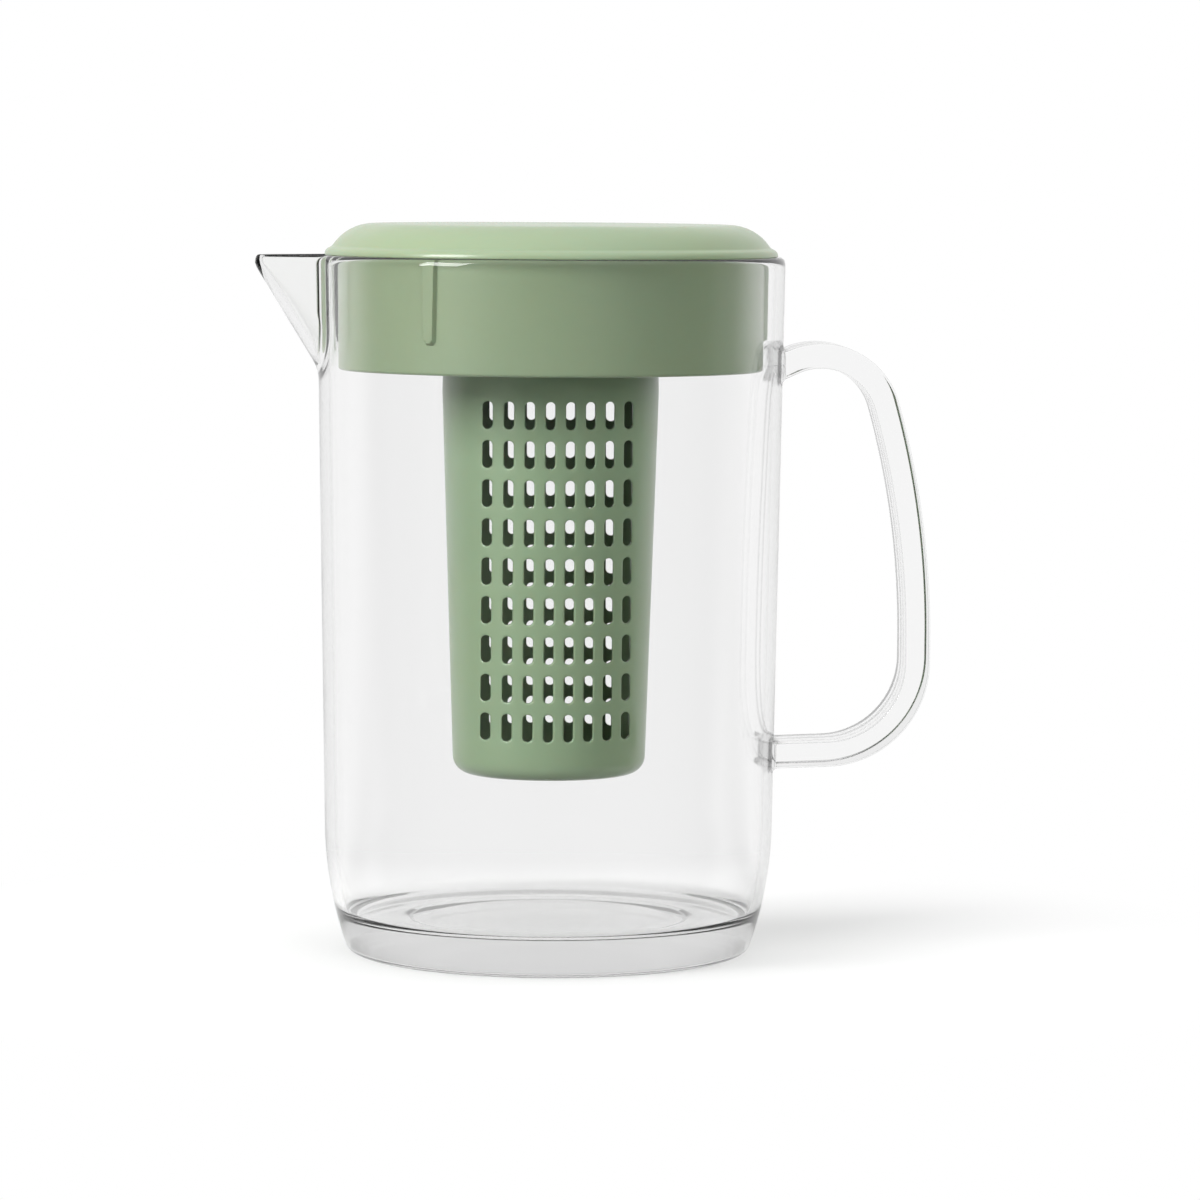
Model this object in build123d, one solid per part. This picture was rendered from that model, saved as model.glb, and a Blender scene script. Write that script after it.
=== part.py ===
from build123d import *
from math import acos, atan2, cos, degrees, radians, sin, sqrt, tan
import os

# Fruit infuser pitcher: a clear jug with a beak and a strap handle, a domed lid with
# a long skirt, and a slotted infuser basket that hangs from a collar under the lid.
# Lengths are in millimetres and angles in degrees.  The origin is the centre of the
# foot on the table, +Z is up, the handle points to +X and the beak to -X.

# --- Jug ------------------------------------------------------------------------------
RIM_HEIGHT = 222.0            # table to the top of the rim
RIM_RADIUS = 74.4             # outside of the rim
WALL = 3.2
WALL_DRAFT = 0.89             # lean of the wall, which narrows downwards
BASE_CURVE_TOP = 40.0         # height where the wall starts to curve in to the foot
BASE_CURVE_RADIUS = 120.0
FOOT_CORNER = 3.75            # rounding between the curved base and the flat foot
FLOOR_HEIGHT = 12.3           # table to the inside floor: the base is moulded thick
FLOOR_CORNER = 4.0
RECESS_RADIUS = 44.0          # shallow round recess under the base
RECESS_DEPTH = 1.2
RIM_ROUND = 1.2               # rounding along the outside of the rim and beak
RIM_BEVEL = 0.4               # small bevel along the inside of the rim and beak

# --- Beak -----------------------------------------------------------------------------
BEAK_OVERHANG = 20.0          # how far the lip of the beak stands out past the rim
BEAK_WIDTH = 36.0             # across the beak where it leaves the wall
BEAK_DEPTH = 40.6             # rim to keel where it leaves the wall
BEAK_TIP_WIDTH = 4.0
BEAK_TIP_DEPTH = 2.6
BEAK_WALL = 2.9               # at the root, square to the surface
BEAK_TIP_WALL = 1.2
BEAK_BLEND = 1.5              # fillet between the beak and the wall

# --- Handle ---------------------------------------------------------------------------
HANDLE_WIDTH = 27.0
HANDLE_THICKNESS = 8.0
HANDLE_EDGE = 1.0             # bevel along the strap's four edges
FINGER_GAP = 40.4             # clear space between the wall and the grip
HANDLE_DROP = 31.0            # rim to the strap's middle line at the top
LOWER_ARM_HEIGHT = 64.3       # height of the strap's middle line at its lowest
LOWER_ARM_RISE = 2.0          # the lower arm climbs a little on its way out
LOWER_BEND_RADIUS = 29.4
GRIP_STRAIGHT = 6.8           # upright stretch above the lower bend
GRIP_BOW_RADIUS = 270.0
TOP_BEND_RADIUS = 21.8
ROOT_BLEND = 1.6              # fillet where the strap spreads onto the wall
ROOT_BURIED = 8.0             # strap drawn on past the wall's face, then cut away

# --- Lid ------------------------------------------------------------------------------
LID_TURN = 3.5                # the lid and basket sit slightly turned in the mouth
CAP_HEIGHT = 10.1             # rim to the flat top
CAP_FLAT_INSET = 17.9         # rim's outside to the edge of the flat top
SHOULDER_RADIUS = 15.5
SHOULDER_SWEEP = 56.0         # angle that the rounded shoulder turns through
CAP_THICKNESS = 2.6
LIP_OVERLAP = 0.8             # how far the lip reaches over the rim
LIP_THICKNESS = 1.8
LIP_ROUND = 2.2
SKIRT_GAP = 3.4               # between the skirt and the bore at the rim
SKIRT_LENGTH = 36.0
SKIRT_DRAFT = 0.48
SKIRT_WALL = 2.5
RIB_COUNT = 3
RIB_ANGLE = 231.5             # direction of the first spacer rib, seen from above
RIB_LENGTH = 26.8
RIB_TOP_WIDTH = 5.3
RIB_BOTTOM_WIDTH = 3.4
RIB_FOOT_FLAT = 0.34          # what the rounding leaves flat at a rib's foot
RIB_CLEARANCE = 0.3           # between a rib and the bore
COLLAR_LENGTH = 33.5
COLLAR_WALL = 2.5
COLLAR_ROOT_ROUND = 1.0
COLLAR_LEAD_IN = 0.8          # chamfer at the collar's mouth

# --- Infuser basket -------------------------------------------------------------------
NECK_CLEARANCE = 0.3          # between the neck and the collar
NECK_RADIUS = 35.0
NECK_INSERTION = 18.0         # length of neck inside the collar
BASKET_WALL = 1.9
BASKET_BOTTOM = 57.3          # table to the underside of the basket
BASKET_BOTTOM_RADIUS = 30.6
BASKET_CORNER = 5.5
SLOT_COLUMNS = 8
SLOT_ROWS = 9
SLOT_WIDTH = 3.0              # the slots are drawn with square ends
SLOT_LENGTH = 8.7
COLUMN_PITCH = 6.3
ROW_PITCH = 12.3
FIRST_ROW = 17.0              # basket's underside to the middle of the lowest row

# --- Sizes that follow ----------------------------------------------------------------
BORE_RADIUS = RIM_RADIUS - WALL / cos(radians(WALL_DRAFT))
HANDLE_APEX = RIM_HEIGHT - HANDLE_DROP
LID_TOP = RIM_HEIGHT + CAP_HEIGHT
CAP_UNDERSIDE = LID_TOP - CAP_THICKNESS
CAP_FLAT_RADIUS = RIM_RADIUS - CAP_FLAT_INSET
SKIRT_BOTTOM = RIM_HEIGHT - SKIRT_LENGTH
SKIRT_TOP_RADIUS = BORE_RADIUS - SKIRT_GAP
SKIRT_BOTTOM_RADIUS = SKIRT_TOP_RADIUS - SKIRT_LENGTH * tan(radians(SKIRT_DRAFT))
COLLAR_BORE_RADIUS = NECK_RADIUS + NECK_CLEARANCE
COLLAR_MOUTH = CAP_UNDERSIDE - COLLAR_LENGTH
NECK_TOP = COLLAR_MOUTH + NECK_INSERTION
PAST = 1.0                    # how far a cutting shape runs past the face it cuts


def wall_radius(height):
    """Radius of the jug's straight outer wall at a height above the table."""
    return RIM_RADIUS - tan(radians(WALL_DRAFT)) * (RIM_HEIGHT - height)


def bore_radius(height):
    """Radius of the jug's inner wall at a height above the curved base."""
    return wall_radius(height) - WALL / cos(radians(WALL_DRAFT))


def turned(outline):
    """Solid of revolution about the jug's axis from a closed half section."""
    return revolve(Plane.XZ * make_face(outline), Axis.Z)


def jug_outline(inset, bottom, top, corner):
    """Half section of the jug's form, set in from its outer face.

    The side is a straight leaning wall with an arc below it that is tangent to the
    wall, and the corner between the arc and the flat bottom is rounded.
    """
    lean = radians(WALL_DRAFT)
    start_radius = wall_radius(BASE_CURVE_TOP)
    centre_x = start_radius - BASE_CURVE_RADIUS * cos(lean)
    centre_z = BASE_CURVE_TOP + BASE_CURVE_RADIUS * sin(lean)
    arc_radius = BASE_CURVE_RADIUS - inset

    def on_arc(height):
        return (centre_x + sqrt(arc_radius**2 - (height - centre_z) ** 2), height)

    arc_top = (centre_x + arc_radius * cos(lean), centre_z - arc_radius * sin(lean))
    arc_bottom = on_arc(bottom)
    arc_middle = on_arc((arc_top[1] + bottom) / 2)
    wall_top = (wall_radius(top) - inset / cos(lean), top)
    outline = Line((0, bottom), arc_bottom)
    outline += ThreePointArc(arc_bottom, arc_middle, arc_top)
    outline += Polyline(arc_top, wall_top, (0, top), (0, bottom))
    face = make_face(outline)
    return fillet(face.vertices().sort_by_distance(arc_bottom)[0], corner).edges()


def beak_section(along, half_width, depth):
    """U-shaped section of the beak, square to the X axis, open edge at the rim."""
    top = RIM_HEIGHT
    spring = top - depth + half_width
    outline = Polyline((-half_width, spring), (-half_width, top), (half_width, top), (half_width, spring))
    outline += ThreePointArc((half_width, spring), (0, top - depth), (-half_width, spring))
    return Plane(origin=(along, 0, 0), x_dir=(0, 1, 0), z_dir=(1, 0, 0)) * make_face(outline)


def beak_blank():
    """Outside of the beak, a tapering keeled form that starts inside the wall."""
    root = -(RIM_RADIUS - WALL)
    tip = -(RIM_RADIUS + BEAK_OVERHANG)
    return loft(
        [
            beak_section(root, BEAK_WIDTH / 2, BEAK_DEPTH),
            beak_section(tip, BEAK_TIP_WIDTH / 2, BEAK_TIP_DEPTH),
        ],
        ruled=True,
    )


def beak_channel():
    """Inside of the beak, which thins towards the lip and opens into the bore."""
    root = -(RIM_RADIUS - WALL)
    tip = -(RIM_RADIUS + BEAK_OVERHANG)
    length = root - tip
    side_slope = atan2((BEAK_WIDTH - BEAK_TIP_WIDTH) / 2, length)
    keel_slope = atan2(BEAK_DEPTH - BEAK_TIP_DEPTH, length)
    half_width = BEAK_WIDTH / 2 - BEAK_WALL / cos(side_slope)
    depth = BEAK_DEPTH - BEAK_WALL / cos(keel_slope)
    tip_half_width = BEAK_TIP_WIDTH / 2 - BEAK_TIP_WALL / 2
    tip_depth = BEAK_TIP_DEPTH - BEAK_TIP_WALL / 2
    root_section = beak_section(root, half_width, depth)
    channel = loft(
        [root_section, beak_section(tip + 2 * BEAK_TIP_WALL, tip_half_width, tip_depth)],
        ruled=True,
    )
    return channel + extrude(root_section, 2 * WALL)


def jug_form():
    """The jug's outer form, filled in, without its beak."""
    return turned(jug_outline(0, 0, RIM_HEIGHT, FOOT_CORNER))


def make_jug_body():
    """Clear jug: form and beak, bored out, with a recessed foot and rounded rim."""
    form = jug_form()
    beak = beak_blank()
    jug = form + beak
    jug = fillet(new_edges(form, beak, combined=jug), BEAK_BLEND)
    bore = turned(jug_outline(WALL, FLOOR_HEIGHT, RIM_HEIGHT + PAST, FLOOR_CORNER))
    jug -= bore
    jug -= beak_channel()
    jug -= Cylinder(RECESS_RADIUS, RECESS_DEPTH, align=(Align.CENTER, Align.CENTER, Align.MIN))
    rim = jug.faces().filter_by(Axis.Z).sort_by(Axis.Z)[-1]
    jug = fillet(rim.outer_wire().edges(), RIM_ROUND)
    rim = jug.faces().filter_by(Axis.Z).sort_by(Axis.Z)[-1]
    return chamfer(rim.inner_wires()[0].edges(), RIM_BEVEL)


def handle_path():
    """Middle line of the strap, from inside the wall below to inside it above."""
    grip_x = wall_radius(LOWER_ARM_HEIGHT + LOWER_BEND_RADIUS) + FINGER_GAP + HANDLE_THICKNESS / 2
    rise = radians(LOWER_ARM_RISE)
    bend_start = (
        grip_x - LOWER_BEND_RADIUS * (1 - sin(rise)),
        LOWER_ARM_HEIGHT + LOWER_BEND_RADIUS * (1 - cos(rise)),
    )
    root_x = wall_radius(LOWER_ARM_HEIGHT) - ROOT_BURIED
    root_z = bend_start[1] - (bend_start[0] - root_x) * tan(rise)
    bow_centre = (
        grip_x - GRIP_BOW_RADIUS,
        LOWER_ARM_HEIGHT + LOWER_BEND_RADIUS + GRIP_STRAIGHT,
    )
    top_centre_z = HANDLE_APEX - TOP_BEND_RADIUS
    climb = top_centre_z - bow_centre[1]
    top_centre_x = bow_centre[0] + sqrt((GRIP_BOW_RADIUS - TOP_BEND_RADIUS) ** 2 - climb**2)
    bow_sweep = degrees(atan2(climb, top_centre_x - bow_centre[0]))
    top_root_x = wall_radius(HANDLE_APEX)
    top_end = 180 - degrees(acos((top_centre_x - top_root_x) / TOP_BEND_RADIUS))

    arm = Line((root_x, root_z), bend_start)
    lower_bend = JernArc(arm @ 1, arm % 1, LOWER_BEND_RADIUS, 90 - LOWER_ARM_RISE)
    upright = Line(lower_bend @ 1, lower_bend @ 1 + Vector(0, GRIP_STRAIGHT))
    bow = JernArc(upright @ 1, (0, 1), GRIP_BOW_RADIUS, bow_sweep)
    top_bend = JernArc(bow @ 1, bow % 1, TOP_BEND_RADIUS, top_end - bow_sweep)
    top_root = Line(top_bend @ 1, top_bend @ 1 + ROOT_BURIED * (top_bend % 1))
    return Plane.XZ * Wire([arm, lower_bend, upright, bow, top_bend, top_root])


def make_jug_handle():
    """Clear strap handle, spread by a fillet onto the wall that it is bonded to."""
    path = handle_path()
    start = Plane(origin=path @ 0, x_dir=(0, 1, 0), z_dir=path % 0)
    section = Rectangle(HANDLE_WIDTH, HANDLE_THICKNESS)
    strap = sweep(start * chamfer(section.vertices(), HANDLE_EDGE), path)
    form = jug_form()
    joined = form + strap
    blended = fillet(new_edges(form, strap, combined=joined), ROOT_BLEND)
    return blended - form


def cap_outline():
    """Half section of the lid's outside: flat top, shoulder, lip and skirt."""
    shoulder = JernArc((CAP_FLAT_RADIUS, LID_TOP), (1, 0), SHOULDER_RADIUS, -SHOULDER_SWEEP)
    lip_radius = BORE_RADIUS + LIP_OVERLAP
    lip_corner = (lip_radius, RIM_HEIGHT + LIP_THICKNESS)
    outline = Line((0, LID_TOP), (CAP_FLAT_RADIUS, LID_TOP)) + shoulder
    outline += Polyline(
        shoulder @ 1,
        lip_corner,
        (lip_radius, RIM_HEIGHT),
        (SKIRT_TOP_RADIUS, RIM_HEIGHT),
        (SKIRT_BOTTOM_RADIUS, SKIRT_BOTTOM),
        (0, SKIRT_BOTTOM),
        (0, LID_TOP),
    )
    face = make_face(outline)
    return fillet(face.vertices().sort_by_distance(lip_corner)[0], LIP_ROUND).edges()


def cap_hollow_outline():
    """Half section of the space under the cap and inside the skirt."""
    arc_radius = SHOULDER_RADIUS - CAP_THICKNESS
    centre_z = LID_TOP - SHOULDER_RADIUS
    wall_inside = SKIRT_TOP_RADIUS - SKIRT_WALL
    turn = degrees(acos((wall_inside - CAP_FLAT_RADIUS) / arc_radius))
    shoulder = JernArc((CAP_FLAT_RADIUS, CAP_UNDERSIDE), (1, 0), arc_radius, turn - 90)
    outline = Line((0, CAP_UNDERSIDE), (CAP_FLAT_RADIUS, CAP_UNDERSIDE)) + shoulder
    outline += Polyline(
        shoulder @ 1,
        (wall_inside, RIM_HEIGHT),
        (SKIRT_BOTTOM_RADIUS - SKIRT_WALL, SKIRT_BOTTOM),
        (SKIRT_BOTTOM_RADIUS - SKIRT_WALL, SKIRT_BOTTOM - PAST),
        (0, SKIRT_BOTTOM - PAST),
        (0, CAP_UNDERSIDE),
    )
    return outline


def collar():
    """Ring under the cap that takes the basket's neck."""
    outline = Polyline(
        (COLLAR_BORE_RADIUS, CAP_UNDERSIDE),
        (COLLAR_BORE_RADIUS, COLLAR_MOUTH + COLLAR_LEAD_IN),
        (COLLAR_BORE_RADIUS + COLLAR_LEAD_IN, COLLAR_MOUTH),
        (COLLAR_BORE_RADIUS + COLLAR_WALL, COLLAR_MOUTH),
        (COLLAR_BORE_RADIUS + COLLAR_WALL, CAP_UNDERSIDE - COLLAR_ROOT_ROUND),
        (COLLAR_BORE_RADIUS + COLLAR_WALL + COLLAR_ROOT_ROUND, CAP_UNDERSIDE),
        (COLLAR_BORE_RADIUS + COLLAR_WALL, CAP_UNDERSIDE + CAP_THICKNESS / 2),
        (COLLAR_BORE_RADIUS, CAP_UNDERSIDE + CAP_THICKNESS / 2),
        close=True,
    )
    return turned(outline)


def spacer_ribs():
    """Tapered upright ribs that keep the skirt central in the bore."""
    foot = RIM_HEIGHT - RIB_LENGTH
    outline = Polyline(
        (-RIB_TOP_WIDTH / 2, RIM_HEIGHT),
        (-RIB_BOTTOM_WIDTH / 2, foot),
        (RIB_BOTTOM_WIDTH / 2, foot),
        (RIB_TOP_WIDTH / 2, RIM_HEIGHT),
        close=True,
    )
    face = make_face(outline)
    round_end = face.vertices().sort_by(Axis.Y)[:2]
    face = fillet(round_end, (RIB_BOTTOM_WIDTH - RIB_FOOT_FLAT) / 2)
    upright = Plane(origin=(0, 0, 0), x_dir=(0, 1, 0), z_dir=(1, 0, 0))
    bar = extrude(upright * face, RIM_RADIUS)
    band = turned(
        Polyline(
            (SKIRT_BOTTOM_RADIUS - SKIRT_WALL / 2, foot - PAST),
            (bore_radius(foot - PAST) - RIB_CLEARANCE, foot - PAST),
            (BORE_RADIUS - RIB_CLEARANCE, RIM_HEIGHT),
            (SKIRT_TOP_RADIUS - SKIRT_WALL / 2, RIM_HEIGHT),
            close=True,
        )
    )
    rib = bar & band
    return [Rot(Z=RIB_ANGLE + 360 / RIB_COUNT * step) * rib for step in range(RIB_COUNT)]


def make_lid():
    """Green lid: cap and skirt, hollowed, with the collar and the spacer ribs."""
    lid = turned(cap_outline()) - turned(cap_hollow_outline())
    lid += collar()
    for rib in spacer_ribs():
        lid += rib
    return Rot(Z=LID_TURN) * lid


def basket_outline(inset):
    """Half section of the basket's tapered tube and neck, set in from its outside."""
    corner = (BASKET_BOTTOM_RADIUS - inset, BASKET_BOTTOM + inset)
    top = NECK_TOP + (PAST if inset else 0)
    outline = Polyline(
        (0, BASKET_BOTTOM + inset),
        corner,
        (NECK_RADIUS - inset, COLLAR_MOUTH),
        (NECK_RADIUS - inset, top),
        (0, top),
        close=True,
    )
    face = make_face(outline)
    return fillet(face.vertices().sort_by_distance(corner)[0], BASKET_CORNER - inset).edges()


def make_infuser_basket():
    """Green basket: threaded neck and tapered tube, slotted at the front and back."""
    basket = turned(basket_outline(0)) - turned(basket_outline(BASKET_WALL))
    pattern_middle = BASKET_BOTTOM + FIRST_ROW + ROW_PITCH * (SLOT_ROWS - 1) / 2
    reach = NECK_RADIUS + PAST
    behind = Plane.XZ.offset(-reach) * Pos(0, pattern_middle)
    slot = extrude(behind * Rectangle(SLOT_WIDTH, SLOT_LENGTH), 2 * reach)
    places = GridLocations(COLUMN_PITCH, ROW_PITCH, SLOT_COLUMNS, SLOT_ROWS)
    basket -= [Pos(place.position.X, 0, place.position.Y) * slot for place in places]
    return Rot(Z=LID_TURN) * basket


PIECES = {
    "jug_body": make_jug_body,
    "jug_handle": make_jug_handle,
    "lid": make_lid,
    "infuser_basket": make_infuser_basket,
}

os.makedirs("parts", exist_ok=True)
for name, make_piece in PIECES.items():
    export_step(make_piece(), f"parts/{name}.step")
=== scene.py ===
"""Fruit infuser pitcher: the looks of the clear jug, its lid and its slotted basket.

Every length is in metres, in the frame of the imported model: the origin is the centre of
the foot, +Z is up, the handle points to +X and the beak to -X.  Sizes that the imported
model has are read from its boxes; the others are fields of the class that uses them.
"""

import logging
from dataclasses import dataclass, field
from enum import Enum
from math import acos, atan2, cos, degrees, pi, radians, sin, sqrt, tan

import bmesh
import bpy
import numpy as np
from mathutils import Matrix, Vector


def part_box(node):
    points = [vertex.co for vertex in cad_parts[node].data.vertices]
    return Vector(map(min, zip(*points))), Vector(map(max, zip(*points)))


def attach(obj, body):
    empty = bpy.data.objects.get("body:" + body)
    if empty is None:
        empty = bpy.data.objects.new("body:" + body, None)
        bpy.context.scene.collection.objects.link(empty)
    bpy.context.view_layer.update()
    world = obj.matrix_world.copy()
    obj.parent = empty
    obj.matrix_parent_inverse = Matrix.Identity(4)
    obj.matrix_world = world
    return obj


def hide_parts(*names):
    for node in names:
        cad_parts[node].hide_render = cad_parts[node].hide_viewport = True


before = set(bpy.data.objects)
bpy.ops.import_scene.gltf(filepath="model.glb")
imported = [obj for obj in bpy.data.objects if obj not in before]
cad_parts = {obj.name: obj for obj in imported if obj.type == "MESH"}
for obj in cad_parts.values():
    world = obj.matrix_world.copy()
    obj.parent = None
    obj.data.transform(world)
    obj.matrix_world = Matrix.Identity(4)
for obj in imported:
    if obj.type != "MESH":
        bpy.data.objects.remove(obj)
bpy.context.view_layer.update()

Array = np.ndarray
POLE_RADIUS = 0.0006  # of the smallest ring, round a pole
MERGE_DISTANCE = 2e-6  # points closer than this are one
CREASE = 32.0  # edges that turn by more degrees stay sharp
SOFT_CREASE = 40.0  # the same, on a piece with small steep edges
WHITE = (1.0, 1.0, 1.0, 1.0)
GREY = (0.5, 0.5, 0.5, 1.0)
log = logging.getLogger("pitcher")


class Body(Enum):
    """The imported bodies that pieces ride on."""

    JUG = "jug"
    LID = "lid"
    INFUSER = "infuser"


class Slot(Enum):
    """The record's material slots."""

    CLEAR_BODY = "clear_body"
    CLEAR_HANDLE = "clear_handle"
    GREEN_LID = "green_lid"
    GREEN_BASKET = "green_basket"


# --- Surfaces -------------------------------------------------------------------------


@dataclass
class Skin:
    """Points and the faces between them, kept as whole arrays.

    Args:
        points: one row of x, y, z for each point.
        quads: four point numbers for each four-sided face.
        triangles: three point numbers for each three-sided face.
    """

    points: Array
    quads: Array
    triangles: Array = field(default_factory=lambda: np.zeros((0, 3), int))

    def joined(self, other: "Skin") -> "Skin":
        """This skin and another as one, with the other's point numbers moved on."""
        shift = len(self.points)
        return Skin(
            np.vstack([self.points, other.points]),
            np.vstack([self.quads, other.quads + shift]),
            np.vstack([self.triangles, other.triangles + shift]),
        )

    def volume(self) -> float:
        """Signed volume: the sum of the tetrahedra from the origin to each triangle.

        Returns:
            The volume, negative where the faces point inwards.
        """
        split = np.vstack([self.quads[:, :3], self.quads[:, [0, 2, 3]], self.triangles])
        a, b, c = (self.points[split[:, i]] for i in range(3))
        return float(np.einsum("ij,ij->", a, np.cross(b, c)) / 6)


def smooth_step(value: Array) -> Array:
    """Ease from 0 to 1: three times the square less twice the cube, of value kept in 0 to 1."""
    kept = np.clip(value, 0, 1)
    return kept * kept * (3 - 2 * kept)


def smooth_max(a: Array, b: Array, blend: float) -> Array:
    """Larger of two surfaces, rounded over where they come within blend of each other.

    The share of a runs from 0 to 1 as a less b runs from -blend to blend, and the
    product of the two shares times blend fills the corner.

    Args:
        a: one surface's values.
        b: the other's, at the same points.
        blend: half the difference over which they run into each other.

    Returns:
        The rounded larger values.
    """
    share = np.clip(0.5 + 0.5 * (a - b) / blend, 0, 1)
    return b + (a - b) * share + blend * share * (1 - share)


def between(start: Array, end: Array, steps: int) -> Array:
    """Points that cut the straight run between two points, or two rings, into equal steps.

    Args:
        start: where the run starts.
        end: where it ends.
        steps: how many steps it is cut into.

    Returns:
        The points inside the run, without its ends.
    """
    share = np.linspace(0, 1, steps + 1)[1:-1].reshape(-1, *[1] * start.ndim)
    return start + (end - start) * share


def along_arc(radius: float, heading: float, headings: Array) -> Array:
    """Places on an arc, as measured from its start.

    The first coordinate is the radius times the change in the heading's sine, and the
    second is the radius times the change in its cosine, turned round.

    Args:
        radius: the arc's radius, negative where it turns to the right.
        heading: the heading at its start, in radians.
        headings: the headings at its points.

    Returns:
        Rows of two coordinates.
    """
    turned = [np.sin(headings) - sin(heading), cos(heading) - np.cos(headings)]
    return radius * np.stack(turned, axis=-1)


def grid_quads(rows: int, columns: int, wrap: bool) -> Array:
    """Faces of a grid of points numbered row by row.

    Args:
        rows: how many rows of points there are.
        columns: how many points a row has.
        wrap: whether the last column joins the first.

    Returns:
        Rows of four point numbers.
    """
    row = np.arange(rows - 1)[:, None] * columns
    column = np.arange(columns if wrap else columns - 1)[None, :]
    after = (column + 1) % columns
    corners = [row + column, row + after, row + columns + after, row + columns + column]
    return np.stack(corners, axis=-1).reshape(-1, 4)


def closed_skin(grid: Array, first_pole: Array, last_pole: Array) -> Skin:
    """Closed surface from rings of points, with a pole at each end.

    Args:
        grid: rings by points by 3; each ring closes on itself.
        first_pole: the point that closes the first ring.
        last_pole: the point that closes the last ring.

    Returns:
        The surface, turned so that its faces point outwards.
    """
    rings, count = grid.shape[:2]
    points = np.vstack([grid.reshape(-1, 3), first_pole, last_pole])
    around = np.arange(count)
    after = (around + 1) % count
    low = np.full(count, rings * count)
    first = np.stack([low, after, around], axis=-1)
    last = np.stack([low + 1, around, after], axis=-1)
    last[:, 1:] += (rings - 1) * count
    skin = Skin(points, grid_quads(rings, count, True), np.vstack([first, last]))
    return outward(skin)


def outward(skin: Skin) -> Skin:
    """The same closed surface with its faces turned outwards if its volume is negative.

    Args:
        skin: a closed surface whose faces all point the same way.

    Returns:
        The surface with its faces pointing outwards.
    """
    if skin.volume() < 0:
        return Skin(skin.points, skin.quads[:, ::-1], skin.triangles[:, ::-1])
    return skin


def put_in_scene(name: str, skin: Skin, crease: float = CREASE) -> bpy.types.Object:
    """Makes a smooth-shaded object from a skin.

    Args:
        name: the piece's name.
        skin: its surface.
        crease: edges that turn by more than this many degrees stay sharp.

    Returns:
        The new object, at the origin, with its place in its mesh.
    """
    mesh = bpy.data.meshes.new(name)
    mesh.vertices.add(len(skin.points))
    mesh.vertices.foreach_set("co", skin.points.astype(np.float32).ravel())
    corners = np.concatenate([skin.quads.ravel(), skin.triangles.ravel()])
    sizes = np.repeat([4, 3], [len(skin.quads), len(skin.triangles)])
    mesh.loops.add(len(corners))
    mesh.loops.foreach_set("vertex_index", corners.astype(np.int32))
    mesh.polygons.add(len(sizes))
    mesh.polygons.foreach_set("loop_start", (np.cumsum(sizes) - sizes).astype(np.int32))
    mesh.update(calc_edges=True)
    mesh.validate()
    mesh.shade_smooth()
    mesh.set_sharp_from_angle(angle=radians(crease))
    piece = bpy.data.objects.new(name, mesh)
    bpy.context.scene.collection.objects.link(piece)
    return piece


def weld(piece: bpy.types.Object, distance: float) -> None:
    """Merges points closer than distance and turns all faces outwards.

    Args:
        piece: a mesh object that closes once its doubles are merged.
        distance: how close two points are to count as one.
    """
    shape = bmesh.new()
    shape.from_mesh(piece.data)
    bmesh.ops.remove_doubles(shape, verts=shape.verts, dist=distance)
    bmesh.ops.recalc_face_normals(shape, faces=shape.faces)
    shape.to_mesh(piece.data)
    shape.free()


@dataclass(frozen=True)
class Corner:
    """One corner of a half section.

    Args:
        radius: distance from the axis.
        height: distance above the table.
        rounding: radius of the arc that replaces the corner.
        spacing: longest step along the straight run that follows the corner.
    """

    radius: float
    height: float
    rounding: float = 0.0
    spacing: float = 1.0


def rounded_profile(corners: list[Corner], arc_step: float = 10.0) -> tuple[Array, Array]:
    """Half section through corners, each replaced by an arc tangent to both runs.

    An arc starts its rounding times the tangent of half the turn before the corner and
    advances with equal turns of its heading; straight runs are cut into equal steps.

    Args:
        corners: the corners in order; the first and last are ends.
        arc_step: largest turn between two points of an arc, in degrees.

    Returns:
        The points as rows of radius and height, and the number of the corner whose
        arc or following run each point belongs to.
    """
    places = np.array([(c.radius, c.height) for c in corners])
    runs = np.diff(places, axis=0)
    headings = np.arctan2(runs[:, 1], runs[:, 0])
    points, owners = [], []
    for number, corner in enumerate(corners):
        arc = places[number][None]
        if 0 < number < len(corners) - 1 and corner.rounding > 0:
            turn = (headings[number] - headings[number - 1] + pi) % (2 * pi) - pi
            back = corner.rounding * tan(abs(turn) / 2)
            heading = headings[number - 1]
            start = places[number] - back * np.array([cos(heading), sin(heading)])
            steps = max(2, int(np.ceil(degrees(abs(turn)) / arc_step)))
            now = heading + np.linspace(0, turn, steps + 1)
            arc = start + along_arc(corner.rounding * np.sign(turn), heading, now)
        if points:
            before = points[-1][-1]
            gap = np.linalg.norm(arc[0] - before)
            steps = max(1, int(np.ceil(gap / corners[number - 1].spacing)))
            points.append(between(before, arc[0], steps))
            owners.append(np.full(len(points[-1]), number - 1))
        points.append(arc)
        owners.append(np.full(len(arc), number))
    return np.vstack(points), np.concatenate(owners)


def revolved(radii: Array, heights: Array, azimuths: Array) -> Array:
    """Rings about the axis: x is radius times cosine, y is radius times sine.

    Args:
        radii: rings by azimuths, or one radius for each ring.
        heights: one height for each ring.
        azimuths: directions in radians.

    Returns:
        Rings by azimuths by 3.
    """
    columns = radii if radii.ndim == 2 else radii[:, None]
    spread = np.broadcast_to(columns, (len(heights), len(azimuths)))
    tall = np.broadcast_to(heights[:, None], spread.shape)
    return np.stack([spread * np.cos(azimuths), spread * np.sin(azimuths), tall], axis=-1)


def turned_about_axis(points: Array, angle: float) -> Array:
    """Points turned about the vertical axis by an angle in degrees."""
    c, s = cos(radians(angle)), sin(radians(angle))
    return points @ np.array([[c, s, 0], [-s, c, 0], [0, 0, 1]])


# --- Finishes -------------------------------------------------------------------------


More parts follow.
